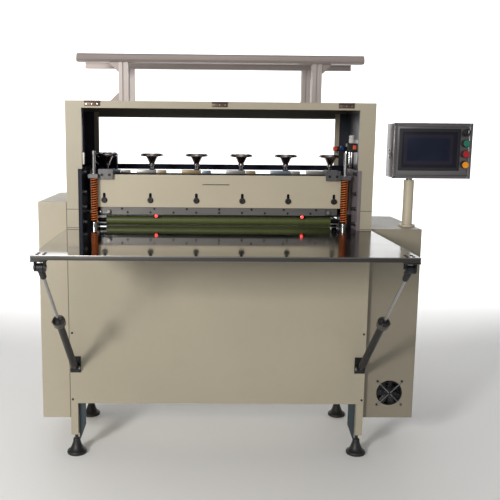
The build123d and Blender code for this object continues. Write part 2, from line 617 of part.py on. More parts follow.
SPRING_START = BUSHING_TOP + SPRING_SEAT_GAP + SPRING_WIRE
SPRING_HEIGHT = SPRING_TOP - SPRING_SEAT_GAP - SPRING_WIRE - SPRING_START
with BuildPart() as die_springs:
    for side in (-1, 1):
        with BuildLine(Plane((side * ROD_X, ROD_Y, SPRING_START))) as coil_path:
            Helix(SPRING_HEIGHT / SPRING_TURNS, SPRING_HEIGHT, SPRING_RADIUS)
        with BuildSketch(Plane(coil_path.line @ 0, z_dir=coil_path.line % 0)) as wire:
            Circle(SPRING_WIRE)
        sweep(sections=wire.sketch, path=coil_path.line, is_frenet=True)
save(die_springs, "die_springs")

# ---- tilting table -------------------------------------------------------------------------
with BuildPart() as table_top:
    block((-HALF, HALF), (-TABLE_REACH, -TABLE_GAP), (BED_UNDERSIDE, TABLE_HEIGHT))
    for pocket in ((-HALF + TABLE_SKIN, -150), (-130, 130), (150, HALF - TABLE_SKIN)):
        block(pocket, (-TABLE_REACH + TABLE_SKIN, -TABLE_GAP - TABLE_SKIN),
              (BED_UNDERSIDE, TABLE_HEIGHT - TABLE_SKIN), Mode.SUBTRACT)
    for side in (-1, 1):
        lug = (side * HINGE_X - LUG_WIDTH / 2, side * HINGE_X + LUG_WIDTH / 2)
        block((lug[0] - 10, lug[1] + 10), (HINGE_Y - 24, -TABLE_GAP),
              (BED_UNDERSIDE, TABLE_HEIGHT - TABLE_SKIN))
        block(lug, (HINGE_Y - HINGE_EYE, HINGE_Y + HINGE_EYE), (HINGE_Z, BED_UNDERSIDE))
        bar_x(HINGE_EYE, lug, HINGE_Y, HINGE_Z)
        bar_x(HINGE_PIN + RUNNING_FIT, lug, HINGE_Y, HINGE_Z, Mode.SUBTRACT)
        ear_inner = STRUT_EYE_WIDTH / 2 + 2 * SIDE_GAP
        pad_half = ear_inner + STRUT_EAR + 1.5
        pad = (side * STRUT_X - pad_half, side * STRUT_X + pad_half)
        block(pad, (STRUT_HIGH[0] - 25, STRUT_HIGH[0] + 25),
              (BED_UNDERSIDE - 6, TABLE_HEIGHT - TABLE_SKIN))
        for ear_side in (-1, 1):
            ear = side_range(ear_side, ear_inner, ear_inner + STRUT_EAR)
            ear = (side * STRUT_X + ear[0], side * STRUT_X + ear[1])
            block(ear, (STRUT_HIGH[0] - 12, STRUT_HIGH[0] + 12),
                  (STRUT_HIGH[1], BED_UNDERSIDE - 6))
            bar_x(12.0, ear, *STRUT_HIGH)
        bar_x(STRUT_PIN, pad, *STRUT_HIGH)
save(table_top, "table_top")

with BuildPart() as panel_brackets:
    for side in (-1, 1):
        lug_half = LUG_WIDTH / 2 + SIDE_GAP
        for ear_side in (-1, 1):
            ear = side_range(ear_side, lug_half, lug_half + EAR_THICK)
            ear = (side * HINGE_X + ear[0], side * HINGE_X + ear[1])
            block(ear, (HINGE_Y, 0), (HINGE_Z - 10, HINGE_Z + 10))
            bar_x(10.0, ear, HINGE_Y, HINGE_Z)
        pin_half = lug_half + EAR_THICK
        bar_x(HINGE_PIN, (side * HINGE_X - pin_half, side * HINGE_X + pin_half), HINGE_Y, HINGE_Z)
        eye_half = STRUT_EYE_WIDTH / 2 + SIDE_GAP
        foot_half = eye_half + STRUT_EAR + 4
        block((side * STRUT_X - foot_half, side * STRUT_X + foot_half), (-5, 0),
              (STRUT_LOW[1] - 25, STRUT_LOW[1] + 45))
        for ear_side in (-1, 1):
            ear = side_range(ear_side, eye_half, eye_half + STRUT_EAR)
            ear = (side * STRUT_X + ear[0], side * STRUT_X + ear[1])
            block(ear, (STRUT_LOW[0], -5), (STRUT_LOW[1] - 11, STRUT_LOW[1] + 11))
            bar_x(11.0, ear, *STRUT_LOW)
        pin_half = eye_half + STRUT_EAR
        bar_x(STRUT_PIN, (side * STRUT_X - pin_half, side * STRUT_X + pin_half), *STRUT_LOW)
save(panel_brackets, "panel_brackets")


def strut_plane(side, distance):
    """A plane across a strut, this far along it from the lower pivot."""
    along = (STRUT_RUN / STRUT_LENGTH, STRUT_RISE / STRUT_LENGTH)
    origin = (side * STRUT_X, STRUT_LOW[0] + distance * along[0],
              STRUT_LOW[1] + distance * along[1])
    return Plane(origin, x_dir=(1, 0, 0), z_dir=(0, *along))


def strut_bar(side, radius, start, end, mode=Mode.ADD):
    """A round length of strut between two distances from the lower pivot."""
    with Locations(strut_plane(side, start)):
        return Cylinder(radius, end - start, align=LOW, mode=mode)


def strut_tube(side):
    """The lower strut tube with its pivot eye, and the clamping collar on its end."""
    eye = (side * STRUT_X - STRUT_EYE_WIDTH / 2, side * STRUT_X + STRUT_EYE_WIDTH / 2)
    with BuildPart() as tube:
        strut_bar(side, STRUT_TUBE_RADIUS - 1, 0, 24)
        strut_bar(side, STRUT_TUBE_RADIUS, 22, COLLAR_AT)
        bar_x(STRUT_TUBE_RADIUS - 1, eye, *STRUT_LOW)
        strut_bar(side, STRUT_TUBE_BORE, 34, COLLAR_AT, Mode.SUBTRACT)
        bar_x(STRUT_PIN + RUNNING_FIT, eye, *STRUT_LOW, Mode.SUBTRACT)
    with BuildPart() as collar:
        strut_bar(side, COLLAR_RADIUS, COLLAR_AT - COLLAR_LENGTH / 2, COLLAR_AT + COLLAR_LENGTH / 2)
        strut_bar(side, STRUT_TUBE_RADIUS, COLLAR_AT - COLLAR_LENGTH / 2, COLLAR_AT, Mode.SUBTRACT)
        strut_bar(side, STRUT_ROD_RADIUS + RUNNING_FIT, COLLAR_AT, COLLAR_AT + COLLAR_LENGTH / 2,
                  Mode.SUBTRACT)
    with BuildPart() as both:
        add(tube.part)
        add(collar.part)
    return both


def strut_rod(side):
    """The upper strut rod: guide head inside the tube, rod and the upper pivot eye."""
    eye = (side * STRUT_X - STRUT_EYE_WIDTH / 2, side * STRUT_X + STRUT_EYE_WIDTH / 2)
    with BuildPart() as rod:
        strut_bar(side, STRUT_TUBE_BORE - RUNNING_FIT, GUIDE_AT, GUIDE_AT + GUIDE_LENGTH)
        strut_bar(side, STRUT_ROD_RADIUS, GUIDE_AT, STRUT_LENGTH)
        strut_bar(side, FORK_RADIUS, STRUT_LENGTH - 6 - FORK_LENGTH, STRUT_LENGTH - 6)
        bar_x(UPPER_EYE_RADIUS, eye, *STRUT_HIGH)
        bar_x(STRUT_PIN + OPEN_PIVOT_CLEARANCE, eye, *STRUT_HIGH, Mode.SUBTRACT)
    return rod


for side, side_name in ((-1, "left"), (1, "right")):
    save(strut_tube(side), f"strut_tube_{side_name}")
    save(strut_rod(side), f"strut_rod_{side_name}")

# ---- portal --------------------------------------------------------------------------------
with BuildPart() as columns:
    for side in (-1, 1):
        block(side_range(side, HALF - SHEET, HALF), (0, FRAME_DEPTH), (BED_UNDERSIDE, COLUMN_TOP))
        block(side_range(side, HALF - COLUMN_LOW_WIDTH, HALF), (0, SHEET),
              (BED_UNDERSIDE, CHEEK_TOP))
        block(side_range(side, HALF - COLUMN_WIDTH, HALF), (0, SHEET), (CHEEK_TOP, COLUMN_TOP))
        block(side_range(side, HALF - COLUMN_WIDTH, HALF - COLUMN_WIDTH + SHEET), (0, FOLD + SHEET),
              (CHEEK_TOP, COLUMN_TOP))
        block(side_range(side, HALF - REAR_FLANGE, HALF), (FRAME_DEPTH - SHEET, FRAME_DEPTH),
              (TABLE_HEIGHT, COLUMN_TOP))
    bar_x(LOWER_JOURNAL + 1, (-HALF, -HALF + SHEET), ROLLER_Y, LOWER_ROLLER_Z, Mode.SUBTRACT)
save(columns, "columns")

with BuildPart() as portal_beam:
    block((-HALF, HALF), (0, FRAME_DEPTH), (COLUMN_TOP, PORTAL_TOP))
    block((-HALF + SHEET, HALF - SHEET), (SHEET, FRAME_DEPTH - SHEET),
          (COLUMN_TOP, PORTAL_TOP - SHEET), Mode.SUBTRACT)
    block((-HALF + REAR_FLANGE, HALF - REAR_FLANGE), (FRAME_DEPTH - SHEET, FRAME_DEPTH),
          (COLUMN_TOP - REAR_LIP, COLUMN_TOP))
save(portal_beam, "portal_beam")

GUARD_HINGES = (-HALF + 110.0, -6.0, HALF - 122.0)
with BuildPart() as guard_hinges:
    for hinge_x in GUARD_HINGES:
        across = (hinge_x - 32.5, hinge_x + 32.5)
        block(across, (-2, 0), (PORTAL_TOP - 22, PORTAL_TOP - 4))
        bar_x(3.5, across, -3.5, PORTAL_TOP - 3.5)
        bar_x(1.6, across, -3.5, PORTAL_TOP - 3.5, Mode.SUBTRACT)
save(guard_hinges, "guard_hinges")

with BuildPart() as rear_tie_bar:
    block((-HALF + SHEET, HALF - SHEET), (TIE_BAR_Y - 15, TIE_BAR_Y + 15),
          (TIE_BAR_BOTTOM, TIE_BAR_TOP))
save(rear_tie_bar, "rear_tie_bar")


# ---- aluminium rack on the portal ----------------------------------------------------------
with BuildPart() as rack_posts:
    for side in (-1, 1):
        for post_y in (RACK_FRONT_Y, RACK_REAR_Y):
            with BuildSketch(Plane((side * RACK_X, post_y, PORTAL_TOP))):
                Rectangle(RACK_PROFILE, RACK_PROFILE)
                with PolarLocations((RACK_PROFILE - RACK_SLOT_DEPTH) / 2, 4):
                    Rectangle(RACK_SLOT_DEPTH, RACK_SLOT, mode=Mode.SUBTRACT)
            extrude(amount=RAIL_BOTTOM - PORTAL_TOP)
save(rack_posts, "rack_posts")

with BuildPart() as rack_rails:
    with BuildSketch(Plane.YZ.offset(-RAIL_HALF)):
        with BuildLine():
            nose_y = RACK_FRONT_Y - RACK_PROFILE / 2 - 10
            flat_back = RACK_FRONT_Y + RACK_PROFILE / 2
            Polyline(
                (nose_y + 18, RACK_TOP),
                (flat_back, RACK_TOP),
                (flat_back, RAIL_BOTTOM),
                (nose_y, RAIL_BOTTOM),
                (nose_y - 6, RAIL_BOTTOM + 10),
            )
            ThreePointArc((nose_y - 6, RAIL_BOTTOM + 10), (nose_y + 2, RACK_TOP - 9),
                          (nose_y + 18, RACK_TOP))
        make_face()
    extrude(amount=2 * RAIL_HALF)
    with BuildSketch(Plane.YZ.offset(-RAIL_HALF - 10)):
        with Locations((RACK_REAR_Y, RACK_TOP - RAIL_HEIGHT / 2)):
            Rectangle(RACK_PROFILE, RAIL_HEIGHT)
            with Locations((-RACK_PROFILE / 2 + RACK_SLOT_DEPTH / 2, 0)):
                Rectangle(RACK_SLOT_DEPTH, RACK_SLOT, mode=Mode.SUBTRACT)
    extrude(amount=2 * RAIL_HALF + 20)
save(rack_rails, "rack_rails")

GUSSET = 38.0
GUSSET_THICK = 30.0
with BuildPart() as rack_gussets:
    for side in (-1, 1):
        for post_y in (RACK_FRONT_Y, RACK_REAR_Y):
            corner_x = side * (RACK_X + RACK_PROFILE / 2)
            corners = [(RAIL_BOTTOM, -1)]
            if side < 0:
                corners.append((PORTAL_TOP, 1))
            for corner_z, turn in corners:
                with BuildSketch(Plane.XZ.offset(-post_y - GUSSET_THICK / 2)):
                    with BuildLine():
                        Polyline(
                            (corner_x, corner_z),
                            (corner_x + side * GUSSET, corner_z),
                            (corner_x + side * GUSSET, corner_z + turn * 5),
                            (corner_x + side * 5, corner_z + turn * GUSSET),
                            (corner_x, corner_z + turn * GUSSET),
                            close=True,
                        )
                    make_face()
                extrude(amount=GUSSET_THICK)
save(rack_gussets, "rack_gussets")

# ---- side cabinets -------------------------------------------------------------------------
with BuildPart() as left_cabinet:
    block((LEFT_EDGE, -HALF), (CABINET_FRONT, FRAME_DEPTH),
          (LEFT_CABINET_BOTTOM, LEFT_CABINET_TOP))
    block((-HALF - CABINET_REVEAL, -HALF), (CABINET_FRONT, CABINET_FRONT + 12),
          (LEFT_CABINET_BOTTOM, LEFT_CABINET_TOP), Mode.SUBTRACT)
    block((LEFT_EDGE + CABINET_SHEET, -HALF - CABINET_SHEET - CABINET_REVEAL),
          (CABINET_FRONT + CABINET_SHEET, CABINET_FRONT + 14),
          (LEFT_CABINET_BOTTOM + CABINET_SHEET, LEFT_CABINET_TOP - CABINET_SHEET), Mode.SUBTRACT)
    block((LEFT_EDGE + CABINET_SHEET, -HALF - CABINET_SHEET),
          (CABINET_FRONT + 14, FRAME_DEPTH - CABINET_SHEET),
          (LEFT_CABINET_BOTTOM + CABINET_SHEET, LEFT_CABINET_TOP - CABINET_SHEET), Mode.SUBTRACT)
    bar_x(LOWER_JOURNAL + 2, (-HALF - CABINET_SHEET, -HALF), ROLLER_Y, LOWER_ROLLER_Z,
          Mode.SUBTRACT)
save(left_cabinet, "left_cabinet")

DOOR_FACE = CABINET_RIGHT - CABINET_SHEET
GLAND_Y = 470.0
GLAND_X = HALF + 130.0
GLAND_RADIUS = 8.0
with BuildPart() as right_cabinet:
    inner = HALF + CABINET_SHEET
    shell_right = DOOR_FACE - DOOR_GAP
    block((HALF, shell_right), (CABINET_FRONT, FRAME_DEPTH),
          (RIGHT_CABINET_BOTTOM, RIGHT_CABINET_TOP))
    block((HALF, HALF + CABINET_REVEAL), (CABINET_FRONT, CABINET_FRONT + 12),
          (RIGHT_CABINET_BOTTOM, RIGHT_CABINET_TOP), Mode.SUBTRACT)
    block((inner + CABINET_REVEAL, shell_right),
          (CABINET_FRONT + CABINET_SHEET, CABINET_FRONT + 14),
          (RIGHT_CABINET_BOTTOM + CABINET_SHEET, RIGHT_CABINET_TOP - CABINET_SHEET), Mode.SUBTRACT)
    block((inner, shell_right), (CABINET_FRONT + 14, FRAME_DEPTH - CABINET_SHEET),
          (RIGHT_CABINET_BOTTOM + CABINET_SHEET, RIGHT_CABINET_TOP - CABINET_SHEET), Mode.SUBTRACT)
    bar_y(FAN_BORE, (CABINET_FRONT, CABINET_FRONT + CABINET_SHEET), FAN_X, FAN_Z, Mode.SUBTRACT)
    for knuckle_z in (RIGHT_CABINET_BOTTOM + 100, RIGHT_CABINET_TOP - 140):
        block((HINGE_LINE_X - 16, HINGE_LINE_X), (FRAME_DEPTH, FRAME_DEPTH + 3),
              (knuckle_z, knuckle_z + 20))
        bar_z(DOOR_KNUCKLE, (knuckle_z, knuckle_z + 20), HINGE_LINE_X, HINGE_LINE_Y)
        bar_z(DOOR_PIN, (knuckle_z, knuckle_z + 41), HINGE_LINE_X, HINGE_LINE_Y)
    gland_top = RIGHT_CABINET_BOTTOM + CABINET_SHEET
    bar_z(GLAND_RADIUS + 6, (RIGHT_CABINET_BOTTOM - 18, gland_top), GLAND_X, GLAND_Y)
    bar_z(GLAND_RADIUS, (RIGHT_CABINET_BOTTOM - 18, gland_top), GLAND_X, GLAND_Y, Mode.SUBTRACT)
save(right_cabinet, "right_cabinet")

with BuildPart() as cabinet_door:
    block((DOOR_FACE, CABINET_RIGHT), (CABINET_FRONT, HINGE_LINE_Y),
          (RIGHT_CABINET_BOTTOM, RIGHT_CABINET_TOP))
    for knuckle_z in (RIGHT_CABINET_BOTTOM + 100, RIGHT_CABINET_TOP - 140):
        block((DOOR_FACE - 10, CABINET_RIGHT), (FRAME_DEPTH, HINGE_LINE_Y),
              (knuckle_z - 1, knuckle_z + 21), Mode.SUBTRACT)
        knuckle = (knuckle_z + 21, knuckle_z + 41)
        block((HINGE_LINE_X, CABINET_RIGHT), (HINGE_LINE_Y - 2, HINGE_LINE_Y), knuckle)
        bar_z(DOOR_KNUCKLE, knuckle, HINGE_LINE_X, HINGE_LINE_Y)
        bar_z(DOOR_PIN + RUNNING_FIT, knuckle, HINGE_LINE_X, HINGE_LINE_Y, Mode.SUBTRACT)
save(cabinet_door, "cabinet_door")

GEAR_DEVICES = (  # front, back, bottom, top and depth of each device on the back plate
    (90, 250, 720, 900, 90),  # power supply
    (270, 480, 760, 900, 70),  # controller
    (90, 480, 640, 690, 45),  # terminal rail
    (100, 200, 440, 600, 120),  # roller drive
    (230, 330, 440, 600, 120),  # press drive
    (360, 470, 430, 600, 80),  # mains switch
    (120, 440, 300, 350, 45),  # relay rail
)
with BuildPart() as control_gear:
    plate_x = HALF + CABINET_SHEET
    block((plate_x, plate_x + 3), (70, 500), (230, 940))
    gear_x = plate_x + 3
    for low_y, high_y, low_z, high_z, depth in GEAR_DEVICES:
        block((gear_x, gear_x + depth), (low_y, high_y), (low_z, high_z))
save(control_gear, "control_gear")

# ---- cooling fan ---------------------------------------------------------------------------
FAN_FRONT = CABINET_FRONT + CABINET_SHEET
GUARD_RADII = (14.0, 26.0, 38.0, 50.0)
FAN_PITCH = 52.5
with BuildPart() as cooling_fan:
    with BuildSketch(Plane.XZ.offset(-FAN_FRONT)):
        with Locations((FAN_X, FAN_Z)):
            RectangleRounded(FAN_SIZE, FAN_SIZE, 6)
            Circle(FAN_BORE, mode=Mode.SUBTRACT)
    extrude(amount=-FAN_DEPTH)
    motor_y = (FAN_FRONT + FAN_DEPTH - 5, FAN_FRONT + FAN_DEPTH)
    bar_y(FAN_HUB, motor_y, FAN_X, FAN_Z)
    with Locations(Plane((FAN_X, motor_y[0], FAN_Z), z_dir=(0, 1, 0))):
        with PolarLocations(0, 4, start_angle=20):
            Box(FAN_BORE + 1, 5, 4, align=(Align.MIN, Align.CENTER, Align.MIN))
    bar_y(3.0, (FAN_FRONT + 6, motor_y[1]), FAN_X, FAN_Z)
guard_y = CABINET_FRONT - 5.0
with BuildPart() as fan_guard:
    with Locations(Plane((FAN_X, guard_y, FAN_Z), z_dir=(0, 1, 0))):
        for ring_radius in GUARD_RADII:
            Torus(ring_radius, GUARD_WIRE)
        reach = FAN_PITCH * sqrt(2)
        with PolarLocations(0, 4, start_angle=45):
            Box(reach, 2 * GUARD_WIRE, 2 * GUARD_WIRE, align=(Align.MIN, Align.CENTER, Align.CENTER))
        with PolarLocations(reach, 4, start_angle=45):
            Cylinder(5.5, CABINET_FRONT - guard_y, align=LOW)
with BuildPart() as fan_assembly:
    add(cooling_fan.part)
    add(fan_guard.part)
save(fan_assembly, "cooling_fan")

with BuildPart() as fan_rotor:
    rotor_y = (FAN_FRONT + 2, FAN_FRONT + FAN_DEPTH - 6)
    bar_y(FAN_HUB, rotor_y, FAN_X, FAN_Z)
    with Locations(Plane((FAN_X, (rotor_y[0] + rotor_y[1]) / 2, FAN_Z), z_dir=(0, 1, 0))):
        with PolarLocations(FAN_HUB - 2, FAN_BLADES):
            with Locations(Location((0, 0, 0), (30, 0, 0))):
                Box(FAN_BORE - FAN_HUB, 22, 2, align=(Align.MIN, Align.CENTER, Align.CENTER))
    bar_y(3.0 + RUNNING_FIT, (FAN_FRONT + 6, rotor_y[1]), FAN_X, FAN_Z, Mode.SUBTRACT)
save(fan_rotor, "fan_rotor")

# ---- mast and operator panel ---------------------------------------------------------------
SOCKET_TOP = PANEL_LOW + 40.0
with BuildPart() as mast:
    bar_z(MAST_RADIUS + 13, (RIGHT_CABINET_TOP, RIGHT_CABINET_TOP + 8), MAST_X, MAST_Y)
    bar_z(MAST_RADIUS, (RIGHT_CABINET_TOP, MAST_TOP), MAST_X, MAST_Y)
    bar_z(SPIGOT_RADIUS, (MAST_TOP, SOCKET_TOP - 2), MAST_X, MAST_Y)
save(mast, "mast")

BEZEL_LEFT = PANEL_LEFT + BEZEL_INSET
BEZEL_LOW = PANEL_LOW + (PANEL_HEIGHT - BEZEL_HEIGHT) / 2 + 5
CONTROL_X = PANEL_RIGHT - CONTROL_INSET
CONTROL_HEIGHTS = [PANEL_LOW + PANEL_HEIGHT - CONTROL_TOP_INSET - step * CONTROL_PITCH
                   for step in range(4)]
with BuildPart() as hmi_box:
    back = PANEL_FRONT + PANEL_DEPTH
    block((PANEL_LEFT, PANEL_RIGHT), (PANEL_FRONT, back), (PANEL_LOW, PANEL_LOW + PANEL_HEIGHT))
    block((PANEL_LEFT + PANEL_SHEET, PANEL_RIGHT - PANEL_SHEET),
          (PANEL_FRONT + PANEL_SHEET, back - PANEL_SHEET),
          (PANEL_LOW + PANEL_SHEET, PANEL_LOW + PANEL_HEIGHT - PANEL_SHEET), Mode.SUBTRACT)
    block((BEZEL_LEFT + 12, BEZEL_LEFT + BEZEL_WIDTH - 12),
          (PANEL_FRONT, PANEL_FRONT + PANEL_SHEET),
          (BEZEL_LOW + 12, BEZEL_LOW + BEZEL_HEIGHT - 12), Mode.SUBTRACT)
    bar_z(SPIGOT_RADIUS + 8, (PANEL_LOW, SOCKET_TOP), MAST_X, MAST_Y)
    bar_z(SPIGOT_RADIUS + RUNNING_FIT, (PANEL_LOW, SOCKET_TOP), MAST_X, MAST_Y, Mode.SUBTRACT)
    for control_z in CONTROL_HEIGHTS:
        bar_y(CONTROL_RING, (PANEL_FRONT - 5, PANEL_FRONT), CONTROL_X, control_z)
        bar_y(CAP_RADIUS + 0.5, (PANEL_FRONT - 5, PANEL_FRONT), CONTROL_X, control_z,
              Mode.SUBTRACT)
        bar_y(CONTROL_STEM + RUNNING_FIT, (PANEL_FRONT, PANEL_FRONT + PANEL_SHEET), CONTROL_X,
              control_z, Mode.SUBTRACT)
save(hmi_box, "hmi_box")

with BuildPart() as hmi_screen:
    block((BEZEL_LEFT, BEZEL_LEFT + BEZEL_WIDTH), (PANEL_FRONT - BEZEL_THICK, PANEL_FRONT),
          (BEZEL_LOW, BEZEL_LOW + BEZEL_HEIGHT))
    block((BEZEL_LEFT + 12, BEZEL_LEFT + BEZEL_WIDTH - 12), (PANEL_FRONT, PANEL_FRONT + 35),
          (BEZEL_LOW + 12, BEZEL_LOW + BEZEL_HEIGHT - 12))
save(hmi_screen, "hmi_screen")

with BuildPart() as selector_knob:
    knob_z = CONTROL_HEIGHTS[0]
    bar_y(CAP_RADIUS, (PANEL_FRONT - 10, PANEL_FRONT - 0.5), CONTROL_X, knob_z)
    block((CONTROL_X - 4, CONTROL_X + 4), (PANEL_FRONT - 22, PANEL_FRONT - 9),
          (knob_z - CAP_RADIUS + 1, knob_z + CAP_RADIUS - 1))
    bar_y(CONTROL_STEM, (PANEL_FRONT - 1, PANEL_FRONT + 18), CONTROL_X, knob_z)
save(selector_knob, "selector_knob")

for button_z, button_name in zip(CONTROL_HEIGHTS[1:], ("green", "red", "yellow")):
    with BuildPart() as button:
        cap_back = PANEL_FRONT - BUTTON_TRAVEL - 0.5
        bar_y(CAP_RADIUS, (cap_back - 5, cap_back), CONTROL_X, button_z)
        bar_y(CONTROL_STEM, (cap_back - 1, PANEL_FRONT + 18), CONTROL_X, button_z)
    save(button, f"button_{button_name}")

# ---- air supply ----------------------------------------------------------------------------
VALVE_BOX_WIDTH = 114.0
VALVE_BOX_BOTTOM = 1228.0
VALVE_BOX_TOP = 1307.0
with BuildPart() as valve_box:
    block((-CHEEK_INNER, -CHEEK_INNER + VALVE_BOX_WIDTH), (CHEEK_DEPTH - 30, CHEEK_DEPTH + 40),
          (VALVE_BOX_BOTTOM, VALVE_BOX_TOP))
save(valve_box, "valve_box")

FILTER_X = HALF - 42.0
FILTER_Y = 250.0
FILTER_BODY_BOTTOM = 1318.0
FILTER_BODY_TOP = 1356.0
FILTER_HALF = 20.0  # half the depth of the body
FILTER_FRONT = FILTER_X - 22  # inner face of the body
BACK_PLATE_FACE = HALF - 18.0  # mounting plate on the column
BOWL_BOTTOM = CHEEK_TOP + 4
BOWL_RADIUS = 14.0
OIL_BOWL_RADIUS = 9.0
FITTING_REACH = FILTER_X - 80.0
PORT_RADIUS = 5.9  # core of a quarter-inch pipe thread
PORT_DEPTH = 12.0
KNOB_STEM = 5.0
with BuildPart() as air_regulator:
    block((BACK_PLATE_FACE, HALF - SHEET), (FILTER_Y - 55, FILTER_Y + 55), (1262, 1372))
    block((FILTER_FRONT, BACK_PLATE_FACE), (FILTER_Y - FILTER_HALF, FILTER_Y + FILTER_HALF),
          (FILTER_BODY_BOTTOM, FILTER_BODY_TOP))
    bar_z(BOWL_RADIUS, (BOWL_BOTTOM, FILTER_BODY_BOTTOM), FILTER_X - 6, FILTER_Y)
    bar_z(OIL_BOWL_RADIUS, (BOWL_BOTTOM, FILTER_BODY_BOTTOM), FILTER_X - 4, FILTER_Y - 32)
    block((FILTER_X - 13, BACK_PLATE_FACE), (FILTER_Y - 41, FILTER_Y - FILTER_HALF),
          (FILTER_BODY_BOTTOM, FILTER_BODY_BOTTOM + 12))
    bar_z(KNOB_STEM, (FILTER_BODY_TOP, FILTER_BODY_TOP + 10), FILTER_X, FILTER_Y)
save(air_regulator, "air_regulator")

with BuildPart() as air_manifold:
    block((FITTING_REACH, FILTER_FRONT), (FILTER_Y - 14, FILTER_Y + 14), (1322, 1342))
    bar_z(7.0, (1312, 1322), FITTING_REACH + 14, FILTER_Y)
    bar_y(PORT_RADIUS, (FILTER_Y + 14 - PORT_DEPTH, FILTER_Y + 14), FITTING_REACH + 32, 1332,
          Mode.SUBTRACT)
save(air_manifold, "air_manifold")

with BuildPart() as regulator_knob:
    knob_bottom = FILTER_BODY_TOP + 1
    bar_z(12.0, (knob_bottom, knob_bottom + 35), FILTER_X, FILTER_Y)
    bar_z(KNOB_STEM + RUNNING_FIT, (knob_bottom, knob_bottom + 10), FILTER_X, FILTER_Y,
          Mode.SUBTRACT)
save(regulator_knob, "regulator_knob")
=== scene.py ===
from math import cos, pi, radians, sin, tau

import bmesh
import bpy
from bpy.props import FloatProperty, FloatVectorProperty, IntProperty, PointerProperty
from mathutils import Matrix, Vector


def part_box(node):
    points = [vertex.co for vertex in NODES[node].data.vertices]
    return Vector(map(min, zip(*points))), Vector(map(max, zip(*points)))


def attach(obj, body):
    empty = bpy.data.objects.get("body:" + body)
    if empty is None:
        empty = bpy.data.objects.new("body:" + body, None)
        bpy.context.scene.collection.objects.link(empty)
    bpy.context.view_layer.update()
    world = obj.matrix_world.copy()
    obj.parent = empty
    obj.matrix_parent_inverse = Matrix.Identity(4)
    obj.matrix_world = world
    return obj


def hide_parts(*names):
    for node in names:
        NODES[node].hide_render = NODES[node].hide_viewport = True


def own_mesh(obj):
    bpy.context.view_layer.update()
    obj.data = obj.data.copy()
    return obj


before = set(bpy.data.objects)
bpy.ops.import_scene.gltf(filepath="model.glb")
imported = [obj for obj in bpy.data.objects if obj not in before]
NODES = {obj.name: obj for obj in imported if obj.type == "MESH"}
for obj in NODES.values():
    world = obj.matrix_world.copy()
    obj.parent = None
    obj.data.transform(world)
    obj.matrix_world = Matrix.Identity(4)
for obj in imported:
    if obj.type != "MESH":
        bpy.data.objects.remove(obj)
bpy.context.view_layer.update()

bl_info = {
    "name": "Sheet Die Cutting Machine",
    "version": (1, 0, 0),
    "blender": (4, 5, 0),
    "location": "3D View > Sidebar > Die Cutter",
    "description": "Finishes and detailed pieces for a wide sheet die cutting machine",
    "category": "Object",
}

MM = 0.001
PORTAL_LOW, PORTAL_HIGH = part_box("portal_beam")
CENTRE_X = (PORTAL_LOW.x + PORTAL_HIGH.x) / 2
FRONT_Y = PORTAL_LOW.y

UP = Vector((0, 0, 1))
FRONT = Vector((0, -1, 0))
BACK = Vector((0, 1, 0))
RIGHT = Vector((1, 0, 0))
LEFT = Vector((-1, 0, 0))

# Places of the machine's parts, in millimetres from the middle of the portal's front.
STATION_PITCH = 195
STATIONS = [(index - 2.5) * STATION_PITCH for index in range(6)]
SHEET_INSIDE = 628.5  # inner faces of the side sheets
REAR_INSIDE = 528.5  # inner face of the rear flanges
LEG_INSIDE = 600
CHEEK_FACE = 568
ROD_X = 527
ROD_Y = 70
SPRING_LOW = 1021.4
SPRING_HIGH = 1204.6
PLATE_FRONT = 91
STRIP_FRONT = 98
KEYHOLE_Z = 1111
HEAD_TOP = 1219
SCREW_Y = 212  # axis of the handwheel screws
WHEEL_Z = 1299
ROLLER_HALF = 485
SENSOR_STATIONS = (-269, 357)
SHADE_STRIP_Y = 263.5
HINGE_STATIONS = (-520, -6, 508)
TABLE_HALF = 630
TABLE_TOP = 1000
STRUT_X = 606
TABLE_PIN = (-640, 955)  # upper strut pivot, depth and height
FOOT_PIN = (-20, 408)  # lower strut pivot
FOOT_X = 615
FOOT_DEPTHS = (45, 485)
MAST = (820, 145)
BOX_X = 896
BOX_FRONT = 85
BOX_EDGES = (1213, 1431)
CONTROL_X = 1036
CONTROL_HEIGHTS = (1406.5, 1361.5, 1316.5, 1271.5)
FAN_PLACE = (747, 0, 285)
FILTER_Y = 250
KNOB_X = 588
VALVE_Y = 305

# Outlines of small turned parts that are used more than once.
PIN_HEAD = ((0, 0), (6.4, 0), (7, 0.8), (7, 2.6), (6.2, 3.4), (0, 3.6))
PUSH_FITTING = ((0, 0), (8.4, 0), (9, 1), (9, 15), (7, 17), (0, 17))

# How noise is stretched into grain: it runs along the axis with the small number.
EVEN = (1, 1, 1)
ALONG_X = (0.02, 1, 1)
ALONG_Z = (1, 1, 0.02)


def at(x, y, z):
    """A point given in millimetres from the middle of the portal's front, at floor level."""
    return Vector((CENTRE_X + x * MM, FRONT_Y + y * MM, z * MM))


def facing(point, direction):
    """The place of a solid whose own Z axis is to point in a direction."""
    return Matrix.Translation(point) @ direction.to_track_quat("Z", "Y").to_matrix().to_4x4()


def upright(x, y, z):
    """The place of a solid that stands at a point given in millimetres."""
    return Matrix.Translation(at(x, y, z))


def front(x, y, z):
    """The place of a solid that points to the operator from a point given in millimetres."""
    return facing(at(x, y, z), FRONT)


# ---- shapes --------------------------------------------------------------------------------

def turned(profile, steps=32):
    """A solid of revolution about Z, from (radius, height) points in millimetres."""
    solid = bmesh.new()
    points = [solid.verts.new((radius * MM, 0, height * MM)) for radius, height in profile]
    edges = [solid.edges.new(pair) for pair in zip(points, points[1:])]
    bmesh.ops.spin(solid, geom=points + edges, cent=(0, 0, 0), axis=UP, angle=tau, steps=steps,
                   use_merge=True)
    return solid


def ring(profile, steps=32):
    """A ring about Z whose section is the closed outline of (radius, height) points."""
    return turned(list(profile) + [profile[0]], steps)


